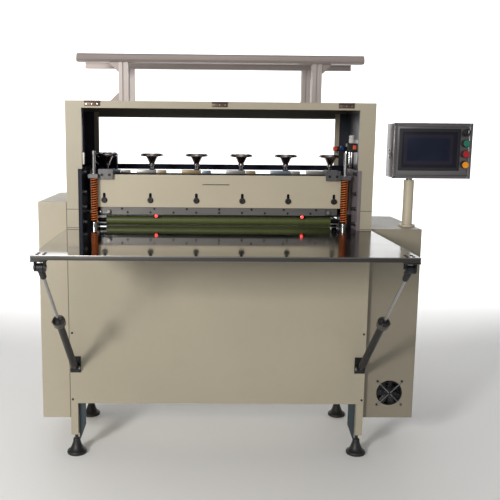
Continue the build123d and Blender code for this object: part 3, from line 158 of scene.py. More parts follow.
def slab(width, depth, height, bevel=1.0, segments=2):
    """A box with rounded edges, standing on its own origin, in millimetres."""
    solid = bmesh.new()
    bmesh.ops.create_cube(solid, size=1.0)
    bmesh.ops.translate(solid, vec=(0, 0, 0.5), verts=solid.verts)
    bmesh.ops.scale(solid, vec=(width * MM, depth * MM, height * MM), verts=solid.verts)
    if bevel:
        bmesh.ops.bevel(solid, geom=solid.edges, offset=bevel * MM, affect="EDGES",
                        segments=segments, profile=0.5, material=-1)
    return solid


def prism(outline, thickness, bevel=0.0):
    """A flat outline of (x, y) millimetres, thickened along Z from its own plane."""
    solid = bmesh.new()
    face = solid.faces.new([solid.verts.new((x * MM, y * MM, 0)) for x, y in outline])
    grown = bmesh.ops.extrude_face_region(solid, geom=[face], use_keep_orig=True)
    raised = [part for part in grown["geom"] if isinstance(part, bmesh.types.BMVert)]
    bmesh.ops.translate(solid, vec=(0, 0, thickness * MM), verts=raised)
    if bevel:
        bmesh.ops.bevel(solid, geom=solid.edges, offset=bevel * MM, affect="EDGES",
                        segments=2, profile=0.5, material=-1)
    return solid


def socket_screw(radius, height, socket=0.5, depth=0.55):
    """A cap screw head on its own origin, with a hexagon socket in its top."""
    solid = bmesh.new()
    chamfer = radius * 0.12
    lower = bmesh.ops.create_circle(solid, cap_ends=True, segments=20, radius=radius * MM)["verts"]
    rim = [edge for edge in solid.edges if all(end in lower for end in edge.verts)]
    for level_radius, level in ((radius, height - chamfer), (radius - chamfer, height)):
        grown = bmesh.ops.extrude_edge_only(solid, edges=rim)["geom"]
        rim = [part for part in grown if isinstance(part, bmesh.types.BMEdge)]
        corners = [part for part in grown if isinstance(part, bmesh.types.BMVert)]
        for corner in corners:
            flat = Vector((corner.co.x, corner.co.y, 0)).normalized() * level_radius * MM
            corner.co = (flat.x, flat.y, level * MM)
    hexagon = bmesh.ops.create_circle(solid, segments=6, radius=radius * socket * MM)["verts"]
    bmesh.ops.translate(solid, vec=(0, 0, height * MM), verts=hexagon)
    mouth = [edge for edge in solid.edges if all(end in hexagon for end in edge.verts)]
    bmesh.ops.bridge_loops(solid, edges=rim + mouth)
    sunk = bmesh.ops.extrude_edge_only(solid, edges=mouth)["geom"]
    floor = [part for part in sunk if isinstance(part, bmesh.types.BMVert)]
    bmesh.ops.translate(solid, vec=(0, 0, -height * depth * MM), verts=floor)
    bmesh.ops.contextual_create(
        solid, geom=[part for part in sunk if isinstance(part, bmesh.types.BMEdge)])
    return solid


def coil(radius, wire_width, wire_height, pitch, turns, steps=24):
    """A helical spring about Z with a flattened wire, standing on its own origin."""
    solid = bmesh.new()
    section = bmesh.ops.create_circle(solid, segments=10, radius=1.0)["verts"]
    bmesh.ops.scale(solid, vec=(wire_width * MM, wire_height * MM, 1), verts=section)
    bmesh.ops.rotate(solid, cent=(0, 0, 0), matrix=Matrix.Rotation(pi / 2, 3, "X"), verts=section)
    bmesh.ops.translate(solid, vec=(radius * MM, 0, 0), verts=section)
    bmesh.ops.spin(solid, geom=solid.verts[:] + solid.edges[:], cent=(0, 0, 0), axis=UP,
                   angle=tau * turns, steps=steps * turns, dvec=(0, 0, pitch * MM / steps))
    bmesh.ops.holes_fill(solid, edges=[edge for edge in solid.edges if edge.is_boundary])
    return solid


def pipe(points, radius):
    """A bent pipe or cable through points, made from a bevelled curve."""
    curve = bpy.data.curves.new("route", "CURVE")
    curve.dimensions = "3D"
    curve.bevel_depth = radius * MM
    curve.bevel_resolution = 3
    curve.use_fill_caps = True
    spline = curve.splines.new("NURBS")
    spline.points.add(len(points) - 1)
    for control, point in zip(spline.points, points):
        control.co = (*point, 1)
    spline.order_u = 3
    spline.use_endpoint_u = True
    holder = bpy.data.objects.new("route", curve)
    mesh = bpy.data.meshes.new_from_object(holder)
    solid = bmesh.new()
    solid.from_mesh(mesh)
    bpy.data.meshes.remove(mesh)
    bpy.data.objects.remove(holder)
    bpy.data.curves.remove(curve)
    return solid


class Piece:
    """A piece being made: each solid is shaped on its own and then put in its place."""

    def __init__(self):
        self.mesh = bmesh.new()

    def put(self, solid, place, finish=0):
        """Close a solid's seams, turn its faces outwards and add it at a place."""
        bmesh.ops.remove_doubles(solid, verts=solid.verts, dist=0.002 * MM)
        bmesh.ops.recalc_face_normals(solid, faces=solid.faces)
        for face in solid.faces:
            face.material_index = finish
        bmesh.ops.transform(solid, matrix=place, verts=solid.verts)
        held = bpy.data.meshes.new("solid")
        solid.to_mesh(held)
        solid.free()
        self.mesh.from_mesh(held)
        bpy.data.meshes.remove(held)

    def done(self, name, finishes, body, replaces=(), crease=32):
        """Turn the piece into an object that rides on a body of the machine."""
        mesh = bpy.data.meshes.new(name)
        self.mesh.to_mesh(mesh)
        self.mesh.free()
        for face in mesh.polygons:
            face.use_smooth = True
        mesh.set_sharp_from_angle(angle=radians(crease))
        for finish in finishes:
            mesh.materials.append(finish)
        piece = bpy.data.objects.new(name, mesh)
        bpy.context.scene.collection.objects.link(piece)
        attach(piece, body)
        if replaces:
            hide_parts(*replaces)
        return piece


# ---- finishes ------------------------------------------------------------------------------

class Level:
    """A number that varies over a surface. Arithmetic on it adds Math nodes."""

    def __init__(self, finish, socket):
        self.finish = finish
        self.socket = socket

    def math(self, operation, first, second):
        """One Math node on two numbers or levels."""
        made = self.finish.node("ShaderNodeMath", {"operation": operation}, {0: first, 1: second})
        return Level(self.finish, made.outputs[0])

    def __add__(self, other):
        return self.math("ADD", self, other)

    def __sub__(self, other):
        return self.math("SUBTRACT", self, other)

    def __rsub__(self, other):
        return self.math("SUBTRACT", other, self)

    def __mul__(self, other):
        return self.math("MULTIPLY", self, other)

    def __gt__(self, other):
        return self.math("GREATER_THAN", self, other)

    def __lt__(self, other):
        return self.math("LESS_THAN", self, other)

    def __abs__(self):
        return self.math("ABSOLUTE", self, 0.0)

    __radd__ = __add__
    __rmul__ = __mul__


class Finish:
    """A material under construction: a Principled shader fed by procedural nodes."""

    def __init__(self, name, roughness=0.5, metallic=0.0, coat=0.0):
        self.material = bpy.data.materials.new(name)
        self.material.use_nodes = True
        self.tree = self.material.node_tree
        self.tree.nodes.clear()
        self.shader = self.node("ShaderNodeBsdfPrincipled", {}, {
            "Roughness": roughness, "Metallic": metallic, "Coat Weight": coat})
        self.node("ShaderNodeOutputMaterial", {}, {"Surface": self.shader.outputs[0]})
        self.place = self.node("ShaderNodeTexCoord", {}, {}).outputs["Object"]

    def node(self, kind, settings, inputs):
        """Add a node, set its settings and then the values or links of its sockets."""
        made = self.tree.nodes.new(kind)
        for key, value in settings.items():
            setattr(made, key, value)
        for key, value in inputs.items():
            self.feed(made.inputs[key], value)
        return made

    def feed(self, socket, value):
        """Set one socket to a number, a colour, a level or another node's output."""
        if isinstance(value, Level):
            value = value.socket
        if isinstance(value, bpy.types.NodeSocket):
            self.tree.links.new(value, socket)
        elif hasattr(value, "__len__") and len(value) == 3 and socket.type == "RGBA":
            socket.default_value = (*value, 1.0)
        else:
            socket.default_value = value

    def axis(self, name):
        """One coordinate of the surface point, in metres."""
        split = self.node("ShaderNodeSeparateXYZ", {}, {0: self.place})
        return Level(self, split.outputs[name])

    def noise(self, scale, detail=2.0, stretch=EVEN, rough=0.5):
        """Soft noise whose grain is stretched along an axis, from 0 to 1."""
        place = self.node("ShaderNodeMapping", {"vector_type": "POINT"}, {
            "Vector": self.place, "Scale": stretch})
        made = self.node("ShaderNodeTexNoise", {"noise_dimensions": "3D"}, {
            "Vector": place.outputs[0], "Scale": scale, "Detail": detail, "Roughness": rough})
        return Level(self, made.outputs[0])

    def spread(self, level, low, high):
        """A level stretched so that low becomes 0 and high becomes 1, held between them."""
        made = self.node("ShaderNodeMapRange", {"clamp": True}, {
            "Value": level, "From Min": low, "From Max": high})
        return Level(self, made.outputs[0])

    def mix(self, level, first, second, blend="MIX"):
        """The first colour where the level is 0 and the second where it is 1."""
        made = self.node("ShaderNodeMix", {"data_type": "RGBA", "blend_type": blend}, {
            0: level, 6: first, 7: second})
        return made.outputs[2]

    def bump(self, height, depth, strength=1.0):
        """Raise the surface by a level, depth in millimetres."""
        made = self.node("ShaderNodeBump", {}, {
            "Height": height, "Distance": depth * MM, "Strength": strength})
        self.feed(self.shader.inputs["Normal"], made.outputs[0])

    def set(self, **levels):
        """Feed the shader's own sockets, named with underscores for spaces."""
        for key, value in levels.items():
            self.feed(self.shader.inputs[key.replace("_", " ")], value)
        return self.material


def darker(colour, share):
    """A colour with its light scaled by a share."""
    return tuple(channel * share for channel in colour)


def painted(name, colour, inside=None, seams=(), gloss=0.42, shade_colour=(0.014, 0.017, 0.028),
            sheen=0.5):
    """Textured powder coat: slow shade changes, fine orange peel and dust in the grain.

    inside is a function that gives the level of the unlit inner faces, where the coat gives way to
    a dark colour as painted shade.
    seams are (axis, millimetres) pairs where two sheets meet in a dark line.
    """
    finish = Finish(name)
    finish.shader.inputs["Specular IOR Level"].default_value = sheen
    cloud = finish.noise(1.3, 2.0)
    peel = finish.noise(420.0, 2.0)
    dust = finish.spread(finish.noise(9.0, 5.0, rough=0.65), 0.52, 0.8)
    base = finish.mix(finish.spread(cloud, 0.3, 0.7), darker(colour, 0.93), darker(colour, 1.06))
    base = finish.mix(dust * 0.18, base, darker(colour, 0.72))
    base = finish.mix(peel * 0.10, base, darker(colour, 0.8))
    for axis, place in seams:
        away = finish.axis(axis) - (CENTRE_X if axis == "X" else 0) - place * MM
        line = finish.spread(abs(away), 2.2 * MM, 0.8 * MM)
        base = finish.mix(line * 0.8, base, darker(colour, 0.2))
    # Painted shade: the unlit inner faces take the dark colour instead of the coat.
    if inside:
        base = finish.mix(inside(finish), base, shade_colour)
    finish.bump(peel, 0.06, 0.35)
    return finish.set(Base_Color=base, Roughness=gloss + dust * 0.12 + (peel - 0.5) * 0.1)


def metal(name, colour, roughness, stretch=EVEN, grain=300.0, contrast=0.12, depth=0.02,
          metallic=1.0, smudges=0.06):
    """Bare metal with drawn or ground grain along the axis that stretch keeps short."""
    finish = Finish(name, metallic=metallic)
    streaks = finish.noise(grain, 3.0, stretch)
    cloud = finish.spread(finish.noise(7.0, 4.0, rough=0.6), 0.35, 0.75)
    base = finish.mix(streaks, darker(colour, 1 - contrast), darker(colour, 1 + contrast))
    base = finish.mix(cloud * 0.25, base, darker(colour, 0.75))
    finish.bump(streaks, depth, 0.5)
    rough = roughness + (streaks - 0.5) * (roughness * 0.5) + cloud * smudges
    return finish.set(Base_Color=base, Roughness=rough)


def plastic(name, colour, roughness=0.35, grain=0.12, coat=0.0):
    """Moulded plastic with a fine spark-eroded grain and slight tone changes."""
    finish = Finish(name, coat=coat)
    grit = finish.noise(1500.0, 2.0)
    cloud = finish.noise(30.0, 3.0)
    base = finish.mix(cloud, darker(colour, 0.85), darker(colour, 1.12))
    finish.bump(grit, grain * 0.1, 0.4)
    return finish.set(Base_Color=base, Roughness=roughness + (grit - 0.5) * grain)


def rubber(name, colour, core):
    """Ground roller rubber, with polished running rings, on a steel core beyond its ends."""
    finish = Finish(name)
    across = finish.axis("X") - CENTRE_X
    metallic = abs(across) > (ROLLER_HALF - 0.4) * MM
    rings = finish.noise(260.0, 2.0, (1, 0.02, 0.02))
    # Paler, smoother patches where the rubber is worn.
    tone_shift = finish.spread(finish.noise(6.0, 4.0, (1, 0.3, 0.3)), 0.4, 0.75)
    base = finish.mix(rings, darker(colour, 0.75), darker(colour, 1.3))
    base = finish.mix(tone_shift * 0.35, base, darker(colour, 1.7))
    base = finish.mix(metallic, base, core)
    finish.bump(rings, 0.03, 0.4)
    return finish.set(Base_Color=base, Metallic=metallic, Roughness=0.38 - tone_shift * 0.1)


def lacquer(name, colour, edge):
    """Bright lacquered spring wire that is rubbed paler in places."""
    finish = Finish(name, coat=0.3)
    rubbed = finish.spread(finish.noise(140.0, 3.0), 0.5, 0.7)
    grit = finish.noise(900.0, 2.0)
    base = finish.mix(rubbed * 0.55, colour, edge)
    finish.bump(grit, 0.02, 0.3)
    return finish.set(Base_Color=base, Roughness=0.36 + rubbed * 0.1)


def glass_screen(name, colour, border):
    """A dark touch screen behind smeared glass, with a paler border line."""
    finish = Finish(name, roughness=0.16)
    finish.shader.inputs["Specular IOR Level"].default_value = 0.2
    middle_x, middle_z = 877, 1334.5
    across = finish.axis("X") - CENTRE_X - middle_x * MM
    up = finish.axis("Z") - middle_z * MM
    inner = (abs(across) < 90 * MM) * (abs(up) < 47.5 * MM)
    frame_line = (abs(across) < 104 * MM) * (abs(up) < 62 * MM)
    cloud = finish.noise(11.0, 2.0)
    panel = finish.mix(cloud, darker(colour, 0.7), darker(colour, 1.35))
    base = finish.mix(frame_line, border, darker(border, 1.7))
    base = finish.mix(inner, base, panel)
    smear = finish.spread(finish.noise(24.0, 4.0, (1, 1, 0.4)), 0.55, 0.8)
    return finish.set(Base_Color=base, Roughness=0.3 + smear * 0.12)


def lamp(name, colour, strength):
    """A small lit lens."""
    finish = Finish(name, roughness=0.2)
    spark = finish.noise(300.0, 2.0)
    glow = finish.mix(spark, colour, darker(colour, 1.4))
    finish.shader.inputs["Emission Strength"].default_value = strength
    return finish.set(Base_Color=darker(colour, 0.6), Emission_Color=glow)


def table_steel(name, colour):
    """Polished steel with painted shade: darker to the right and the front as painted dark
    reflections, and painted dark underneath and behind.
    """
    finish = Finish(name, metallic=1.0)
    finish.shader.inputs["Specular IOR Level"].default_value = 0.25
    across = finish.axis("X") - CENTRE_X
    streaks = finish.noise(220.0, 3.0, ALONG_X)
    cloud = finish.spread(finish.noise(7.0, 4.0, rough=0.6), 0.35, 0.75)
    # Painted dark reflection to the right, where the steel is also rougher; painted dark
    # reflection at the front; painted shade behind the portal's front and under the table.
    tone_shift = finish.spread(across, 0.26, 0.42)
    front = finish.spread(FRONT_Y - finish.axis("Y"), 0.35, 0.62)
    rear = finish.axis("Y") > FRONT_Y + 100 * MM
    under = finish.axis("Z") < (TABLE_TOP - 0.5) * MM
    base = finish.mix(streaks, darker(colour, 0.96), darker(colour, 1.04))
    base = finish.mix(cloud * 0.2, base, darker(colour, 0.75))
    base = finish.mix(front * 0.6, base, darker(colour, 0.25))
    base = finish.mix(tone_shift, base, darker(colour, 0.05))
    base = finish.mix(rear, base, darker(colour, 0.1))
    base = finish.mix(under, base, darker(colour, 0.04))
    finish.bump(streaks, 0.004, 0.5)
    return finish.set(Base_Color=base, Roughness=0.045 + cloud * 0.05 + tone_shift * 0.09 + rear * 0.4
                      + under * 0.4)


def piston_steel(name):
    """Bright rod steel above the spring seats, and near-black painted shade on the rod inside the
    springs, where it is rougher.
    """
    finish = Finish(name, metallic=0.9)
    streaks = finish.noise(260.0, 3.0, ALONG_Z)
    bright = finish.axis("Z") > (SPRING_HIGH + 1.4) * MM
    base = finish.mix(streaks, (0.24, 0.24, 0.25), (0.5, 0.49, 0.48))
    # Painted shade: the rod is near-black inside the springs.
    base = finish.mix(bright, (0.006, 0.005, 0.005), base)
    finish.bump(streaks, 0.01, 0.4)
    return finish.set(Base_Color=base, Roughness=0.5 - bright * 0.28)


def column_shade_faces(finish):
    """The inner faces of the columns, behind their front and short of the rear flange's edge,
    which get painted shade.
    """
    across = abs(finish.axis("X") - CENTRE_X)
    depth = finish.axis("Y") - FRONT_Y
    behind = 524 * MM
    side = (across < SHEET_INSIDE * MM) * (depth > 4 * MM) * (depth < behind)
    flange = (across > 586 * MM) * (depth > behind) * (depth < REAR_INSIDE * MM)
    return (side + flange) > 0.5


def beam_shade_faces(finish):
    """The inner faces of the beam, seen from below, which get painted shade."""
    depth = finish.axis("Y") - FRONT_Y
    height = finish.axis("Z")
    across = abs(finish.axis("X") - CENTRE_X)
    return (depth > 2 * MM) * (depth < REAR_INSIDE * MM) * (height < 1518.5 * MM) * (
        across < SHEET_INSIDE * MM)


def leg_shade_faces(finish):
    """The inner faces of the angle legs, below the panels, which get painted shade."""
    return abs(finish.axis("X") - CENTRE_X) < (LEG_INSIDE - 0.3) * MM


def cheek_steel(name):
    """Steel of the cheeks: a near-black matt copy as painted shade on the left cheek and a paler
    lit copy on the right one.
    """
    finish = Finish(name)
    finish.shader.inputs["Specular IOR Level"].default_value = 0.15
    right_side = finish.axis("X") > CENTRE_X
    streaks = finish.noise(240.0, 3.0, (1, 1, 0.05))
    # Painted shade on the left cheek and a lit colour on the right one.
    base = finish.mix(right_side, (0.014, 0.018, 0.03), (0.24, 0.205, 0.215))
    base = finish.mix(streaks * 0.3, base, (0.03, 0.03, 0.034))
    finish.bump(streaks, 0.03, 0.5)
    return finish.set(Base_Color=base, Metallic=right_side * 0.3,
                      Roughness=0.5 + streaks * 0.12)


def coat(finish, *nodes):
    """Give CAD nodes a finish."""
    for name in nodes:
        mesh = NODES[name].data
        mesh.materials.clear()
        mesh.materials.append(finish)


class FinishShelf(dict):
    """Every finish by name, made once when it is first asked for."""

    def __missing__(self, name):
        colours = bpy.context.scene.cutter_colours
        paint = tuple(colours.paint)
        steel = tuple(colours.steel)
        makers = {
            "paint": lambda: painted("cream powder coat", paint),
            # Painted light: the left cabinet takes the cream made slightly brighter.
            "left_paint": lambda: painted("left cabinet coat in painted light", darker(paint, 1.05),
                                          seams=(("X", -637),)),
            # Painted shade: the right cabinet and its door take the cream made much darker.
            "shaded_right_paint": lambda: painted("right cabinet coat in painted shade", darker(paint, 0.62),
                                           seams=(("X", 631),)),
            # The legs, columns and beam take a dark colour as painted shade on their inner faces.
            "leg": lambda: painted("leg powder coat", paint, inside=leg_shade_faces,
                                   shade_colour=(0.03, 0.045, 0.055)),
            "column": lambda: painted("column powder coat", paint, inside=column_shade_faces,
                                      seams=(("Z", 1004), ("Z", 1080))),
            "beam": lambda: painted("beam powder coat", paint, inside=beam_shade_faces,
                                    shade_colour=darker(paint, 0.3)),
            "mast": lambda: painted("mast powder coat", darker(paint, 1.4)),
            # Painted light: the head plate takes the cream made brighter.
            "plate": lambda: painted("head powder coat in painted light", darker(paint, 1.3), gloss=0.36),
            "table": lambda: table_steel("polished stainless", darker(steel, 0.92)),
            # Painted light on the table's edge: a near-black copy of the steel as painted shade on
            # the front face, and a paler copy as a painted highlight along the top.
            "edge": lambda: metal("table edge in painted shade", darker(steel, 0.06), 0.5, ALONG_X, 400.0,
                                  metallic=0.4),
            "lip": lambda: metal("painted highlight lip", darker(steel, 0.35), 0.3, ALONG_X, 400.0),
            "ground": lambda: metal("ground steel", darker(steel, 0.25), 0.4, (0.03, 1, 1),
                                    260.0, 0.16, metallic=0.7),
            "strip": lambda: metal("knife strip steel", darker(steel, 0.24), 0.42, (0.03, 1, 1),
                                   260.0, 0.2, metallic=0.6),
            "chrome": lambda: metal("chrome", (0.50, 0.43, 0.41), 0.2, EVEN, 60.0, 0.35,
                                    0.02),
            "rod": lambda: metal("bright rod", (0.42, 0.42, 0.43), 0.2, ALONG_Z, 260.0,
                                 0.08),
            "dark": lambda: metal("blackened steel", (0.012, 0.013, 0.016), 0.4, (1, 1, 0.2),
                                  160.0, 0.25, metallic=0.3),
            "navy": lambda: painted("navy tie bar", (0.010, 0.011, 0.02), gloss=0.75,
                                    sheen=0.03),
            "collar": lambda: metal("collar steel", (0.1, 0.095, 0.09), 0.34, (1, 1, 0.3),
                                    240.0, 0.25, metallic=0.8),
            "aluminium": lambda: metal("anodised aluminium", (0.30, 0.255, 0.24), 0.42,
                                       ALONG_X, 420.0, 0.1, metallic=0.45),
            "post": lambda: metal("anodised post", (0.42, 0.375, 0.36), 0.4, ALONG_Z,
                                  420.0, 0.1, metallic=0.35),
            "black": lambda: plastic("black plastic", (0.010, 0.010, 0.011), 0.5),
            "box": lambda: metal("brushed stainless", (0.21, 0.2, 0.205), 0.28, ALONG_X,
                                 380.0, 0.3, metallic=0.9),
            "bezel": lambda: plastic("display bezel", (0.010, 0.009, 0.014), 0.45),
            "screen": lambda: glass_screen("display glass", tuple(colours.screen),
                                           (0.011, 0.010, 0.017)),
            "green": lambda: plastic("green button", (0.012, 0.15, 0.10), 0.28, coat=0.3),
            "red": lambda: plastic("red button", (0.36, 0.008, 0.012), 0.28, coat=0.3),
            "amber": lambda: plastic("amber button", (0.78, 0.28, 0.01), 0.28, coat=0.3),
            "white": lambda: plastic("white plastic", (0.62, 0.61, 0.58), 0.3),
            "orange": lambda: plastic("orange tag", (0.8, 0.12, 0.05), 0.35),
            "fitting_red": lambda: plastic("red fitting", (0.62, 0.035, 0.02), 0.3),
            "fitting_blue": lambda: plastic("blue fitting", (0.012, 0.04, 0.16), 0.3),
            "bronze": lambda: metal("bronze hinge", (0.12, 0.08, 0.06), 0.4, (0.1, 1, 1),
                                    300.0, 0.3, metallic=0.7),
            "brass_block": lambda: metal("cast nut block", (0.3, 0.225, 0.13), 0.42, EVEN,
                                         200.0, 0.15, metallic=0.4),
            "pale_block": lambda: metal("pale nut block", (0.3, 0.29, 0.275), 0.36,
                                        (0.05, 1, 1), 200.0, 0.3, metallic=0.6),
            "blue_block": lambda: metal("silver nut block", (0.22, 0.26, 0.31), 0.34,
                                        (0.05, 1, 1), 200.0, 0.3, metallic=0.6),
            "clamp": lambda: metal("clamp plate steel", (0.13, 0.125, 0.13), 0.34,
                                   (1, 1, 0.1), 60.0, 0.5, metallic=0.7, smudges=0.12),
            "piston": lambda: piston_steel("pull rod steel"),
            "cheek": lambda: cheek_steel("cheek steel"),
            "cast": lambda: painted("cast housing", (0.16, 0.17, 0.18), gloss=0.48),
            "gear": lambda: plastic("control gear", (0.28, 0.28, 0.27), 0.45),
            "rubber": lambda: rubber("green roller rubber", tuple(colours.rubber),
                                     (0.035, 0.035, 0.037)),
            "spring": lambda: lacquer("spring lacquer", tuple(colours.spring),
                                      (0.75, 0.26, 0.04)),
            "light": lambda: lamp("lit lens", (1.0, 0.05, 0.05), 2.2),
        }
        self[name] = makers[name]()
        return self[name]


SHELF = FinishShelf()


# ---- settings ------------------------------------------------------------------------------

class CutterSizes(bpy.types.PropertyGroup):
    """Sizes of the detailed pieces."""

    wheel_radius: FloatProperty(
        name="Handwheel Radius", description="Outer radius of a handwheel rim",
        default=0.050, min=0.03, max=0.055, unit="LENGTH")
    wheel_rim: FloatProperty(
        name="Rim Thickness", description="Thickness of a handwheel rim",
        default=0.012, min=0.006, max=0.016, unit="LENGTH")
    spring_radius: FloatProperty(
        name="Spring Radius", description="Radius of a return spring to the middle of its wire",
        default=0.0125, min=0.011, max=0.014, unit="LENGTH")
    spring_turns: IntProperty(
        name="Spring Turns", description="Number of turns of a return spring",
        default=18, min=8, max=24)
    screw_head: FloatProperty(
        name="Head Screw", description="Head radius of the screws in the keyholes",
        default=0.010, min=0.007, max=0.012, unit="LENGTH")


class CutterColours(bpy.types.PropertyGroup):
    """Colours of the main finishes."""

    paint: FloatVectorProperty(
        name="Paint", description="Powder coat of the frame, panels and cabinets",
        default=(0.37, 0.33, 0.25), size=3, min=0.0, max=1.0, subtype="COLOR")
    steel: FloatVectorProperty(
        name="Steel", description="Bare steel of the table and the knife holder",
        default=(0.62, 0.6, 0.58), size=3, min=0.0, max=1.0, subtype="COLOR")
    rubber: FloatVectorProperty(
        name="Roller Rubber", description="Rubber of the feed rollers",
        default=(0.075, 0.09, 0.028), size=3, min=0.0, max=1.0, subtype="COLOR")
    spring: FloatVectorProperty(
        name="Springs", description="Lacquer of the return springs",
        default=(0.68, 0.15, 0.02), size=3, min=0.0, max=1.0, subtype="COLOR")
    screen: FloatVectorProperty(
        name="Screen", description="Glass of the touch screen when it is off",
        default=(0.008, 0.011, 0.026), size=3, min=0.0, max=1.0, subtype="COLOR")


# ---- pieces --------------------------------------------------------------------------------

class CUTTER_OT_bodywork(bpy.types.Operator):
    """Powder coat the frame, panels, columns, cabinets and mast"""

    bl_idname = "cutter.bodywork"
    bl_label = "Bodywork"

    def execute(self, context):
        coat(SHELF["paint"], "front_panel", "body_panels", "base_plate")
        coat(SHELF["left_paint"], "left_cabinet")
        coat(SHELF["shaded_right_paint"], "right_cabinet", "cabinet_door")
        coat(SHELF["leg"], "legs")
        coat(SHELF["column"], "columns")
        coat(SHELF["beam"], "portal_beam")
        coat(SHELF["mast"], "mast")
        screws = Piece()
        for side in (-1, 1):
            for across, height in ((619, 555), (621, 262)):
                screws.put(socket_screw(4.5, 2.6), front(side * across, 0, height))
        screws.done("panel_screws", [SHELF["dark"]], "frame")
        spigot = Piece()
        spigot.put(turned(((12.1, 1203), (14, 1203.4), (14, 1206), (12.3, 1207), (12.3, 1212.6),
                           (12.1, 1212.8))), upright(*MAST, 0))
        spigot.done("mast_spigot", [SHELF["rod"]], "frame")
        return {"FINISHED"}


class CUTTER_OT_feet(bpy.types.Operator):
    """Make the four levelling feet with their stems and lock nuts"""

    bl_idname = "cutter.feet"
    bl_label = "Levelling Feet"

    def execute(self, context):
        feet = Piece()
        profile = ((0, 0), (40, 0), (42, 1.5), (42.5, 4), (42.5, 10), (41, 13), (36, 16.5),
                   (31, 20), (25, 29), (20, 42), (17, 52), (15.5, 60), (15, 66), (13.5, 68.5),
                   (8.2, 69), (0, 69))
        for side in (-1, 1):
            for depth in FOOT_DEPTHS:
                feet.put(turned(profile, 40), upright(side * FOOT_X, depth, 0))
                thread = [(0, 68)] + [(8.0 if step % 2 else 7.1, 68 + step * 1.1)
                                      for step in range(31)] + [(0, 101.9)]
                feet.put(turned(thread, 24), upright(side * FOOT_X, depth, 0), 1)
                nut = [(12.2 * cos(tau * corner / 6), 12.2 * sin(tau * corner / 6))
                       for corner in range(6)]
                feet.put(prism(nut, 9.5, 0.8), upright(side * FOOT_X, depth, 92), 1)
        feet.done("machine_feet", [SHELF["black"], SHELF["collar"]], "frame",
                  ["levelling_feet"])
        return {"FINISHED"}


class CUTTER_OT_table(bpy.types.Operator):
    """Finish the tilting table with its edge strips of painted highlight and shade, corner screws
    and strut ears
    """

    bl_idname = "cutter.table"
    bl_label = "Table"

    def execute(self, context):
        coat(SHELF["table"], "table_top", "bed_top")
        trim = Piece()
        # Thin strips on the front and sides of the table: a bright band along the top as a painted
        # highlight and a dark band below it as painted shade.
        for finish, height, level in ((1, 4, 996.2), (0, 12, 984)):
            trim.put(slab(2 * TABLE_HALF, 0.8, height, 0.3), upright(0, -672.3, level), finish)
            for side in (-1, 1):
                trim.put(slab(0.8, 668, height, 0.3),
                         upright(side * (TABLE_HALF + 0.2), -338, level), finish)
        for side in (-1, 1):
            for across in (590, 612):
                for depth in (-652, -626):
                    trim.put(socket_screw(5.2, 1.6), upright(side * across, depth, TABLE_TOP), 2)
        trim.done("table_edge_light_and_shade", [SHELF["edge"], SHELF["lip"], SHELF["dark"]], "table")
        pads = Piece()
        for side in (-1, 1):
            pads.put(slab(52, 62, 6, 1.2), upright(side * STRUT_X, TABLE_PIN[0], 977.5))
            for across in (-18.9, 12.9):
                pads.put(turned(((0, 0), (13.5, 0), (14, 0.6), (14, 5.4), (13.5, 6), (0, 6))),
                         facing(at(side * STRUT_X + across, *TABLE_PIN), RIGHT))
            for ear in (-1, 1):
                pads.put(turned(PIN_HEAD),
                         facing(at(side * STRUT_X + ear * 18.6, *TABLE_PIN), RIGHT * ear), 1)
        pads.done("strut_ears", [SHELF["dark"], SHELF["rod"]], "table")
        coat(SHELF["dark"], "panel_brackets")
        plates = Piece()
        for side in (-1, 1):
            for ear in (-1, 1):
                plates.put(socket_screw(4.6, 3), front(side * STRUT_X + ear * 14, -5, 444))
                plates.put(turned(PIN_HEAD),
                           facing(at(side * STRUT_X + ear * 17.9, *FOOT_PIN), RIGHT * ear), 1)
        plates.done("bracket_screws", [SHELF["black"], SHELF["rod"]], "frame")
        return {"FINISHED"}


class CUTTER_OT_struts(bpy.types.Operator):
    """Make the telescopic struts: lower tube, clamping collar, rod and eye"""

    bl_idname = "cutter.struts"
    bl_label = "Table Struts"

    def execute(self, context):
        along = Vector((0, TABLE_PIN[0] - FOOT_PIN[0], TABLE_PIN[1] - FOOT_PIN[1])).normalized()
        for side, name in ((-1, "left"), (1, "right")):
            foot = at(side * STRUT_X, *FOOT_PIN)
            place = facing(foot, along)
            lower = Piece()
            lower.put(ring(((9.5, 34), (9.5, 417), (13.6, 417), (14.6, 60), (14.6, 34),
                            (12, 26), (11.4, 14), (9.5, 14))), place)
            lower.put(turned(((0, -11.5), (10.2, -11.5), (11, -10.7), (11, 10.7), (10.2, 11.5),
                              (0, 11.5))), facing(foot, RIGHT))
            lower.put(ring(((6.4, 433), (15, 435), (17, 441), (22, 445), (24, 442.5),
                            (24, 419), (22, 415), (13.7, 415), (13.7, 425), (6.4, 425)), 40),
                      place, 1)
            lower.put(socket_screw(4, 4), facing(foot + along * 0.43 + RIGHT * side * 0.0235,
                                                 RIGHT * side), 2)
            lower.done(f"strut_lower_{name}", [SHELF["dark"], SHELF["collar"], SHELF["black"]],
                       f"strut_tube_{name}", [f"strut_tube_{name}"])
            upper = Piece()
            upper.put(turned(((0, 150), (9.2, 150), (9.4, 151), (9.4, 163), (9.2, 164), (6, 164),
                              (6, 774), (0, 774)), 24), place)
            upper.put(turned(((0, 762), (8.5, 762), (11, 765), (11.4, 770), (11.4, 806),
                              (9, 812), (0, 812)), 24), place, 1)
            upper.put(ring(((6.4, -11.3), (13.2, -11.3), (14, -10.5), (14, 10.5), (13.2, 11.3),
                            (6.4, 11.3))), facing(at(side * STRUT_X, *TABLE_PIN), RIGHT), 1)
            upper.done(f"strut_upper_{name}", [SHELF["rod"], SHELF["dark"]],
                       f"strut_rod_{name}", [f"strut_rod_{name}"])
        return {"FINISHED"}


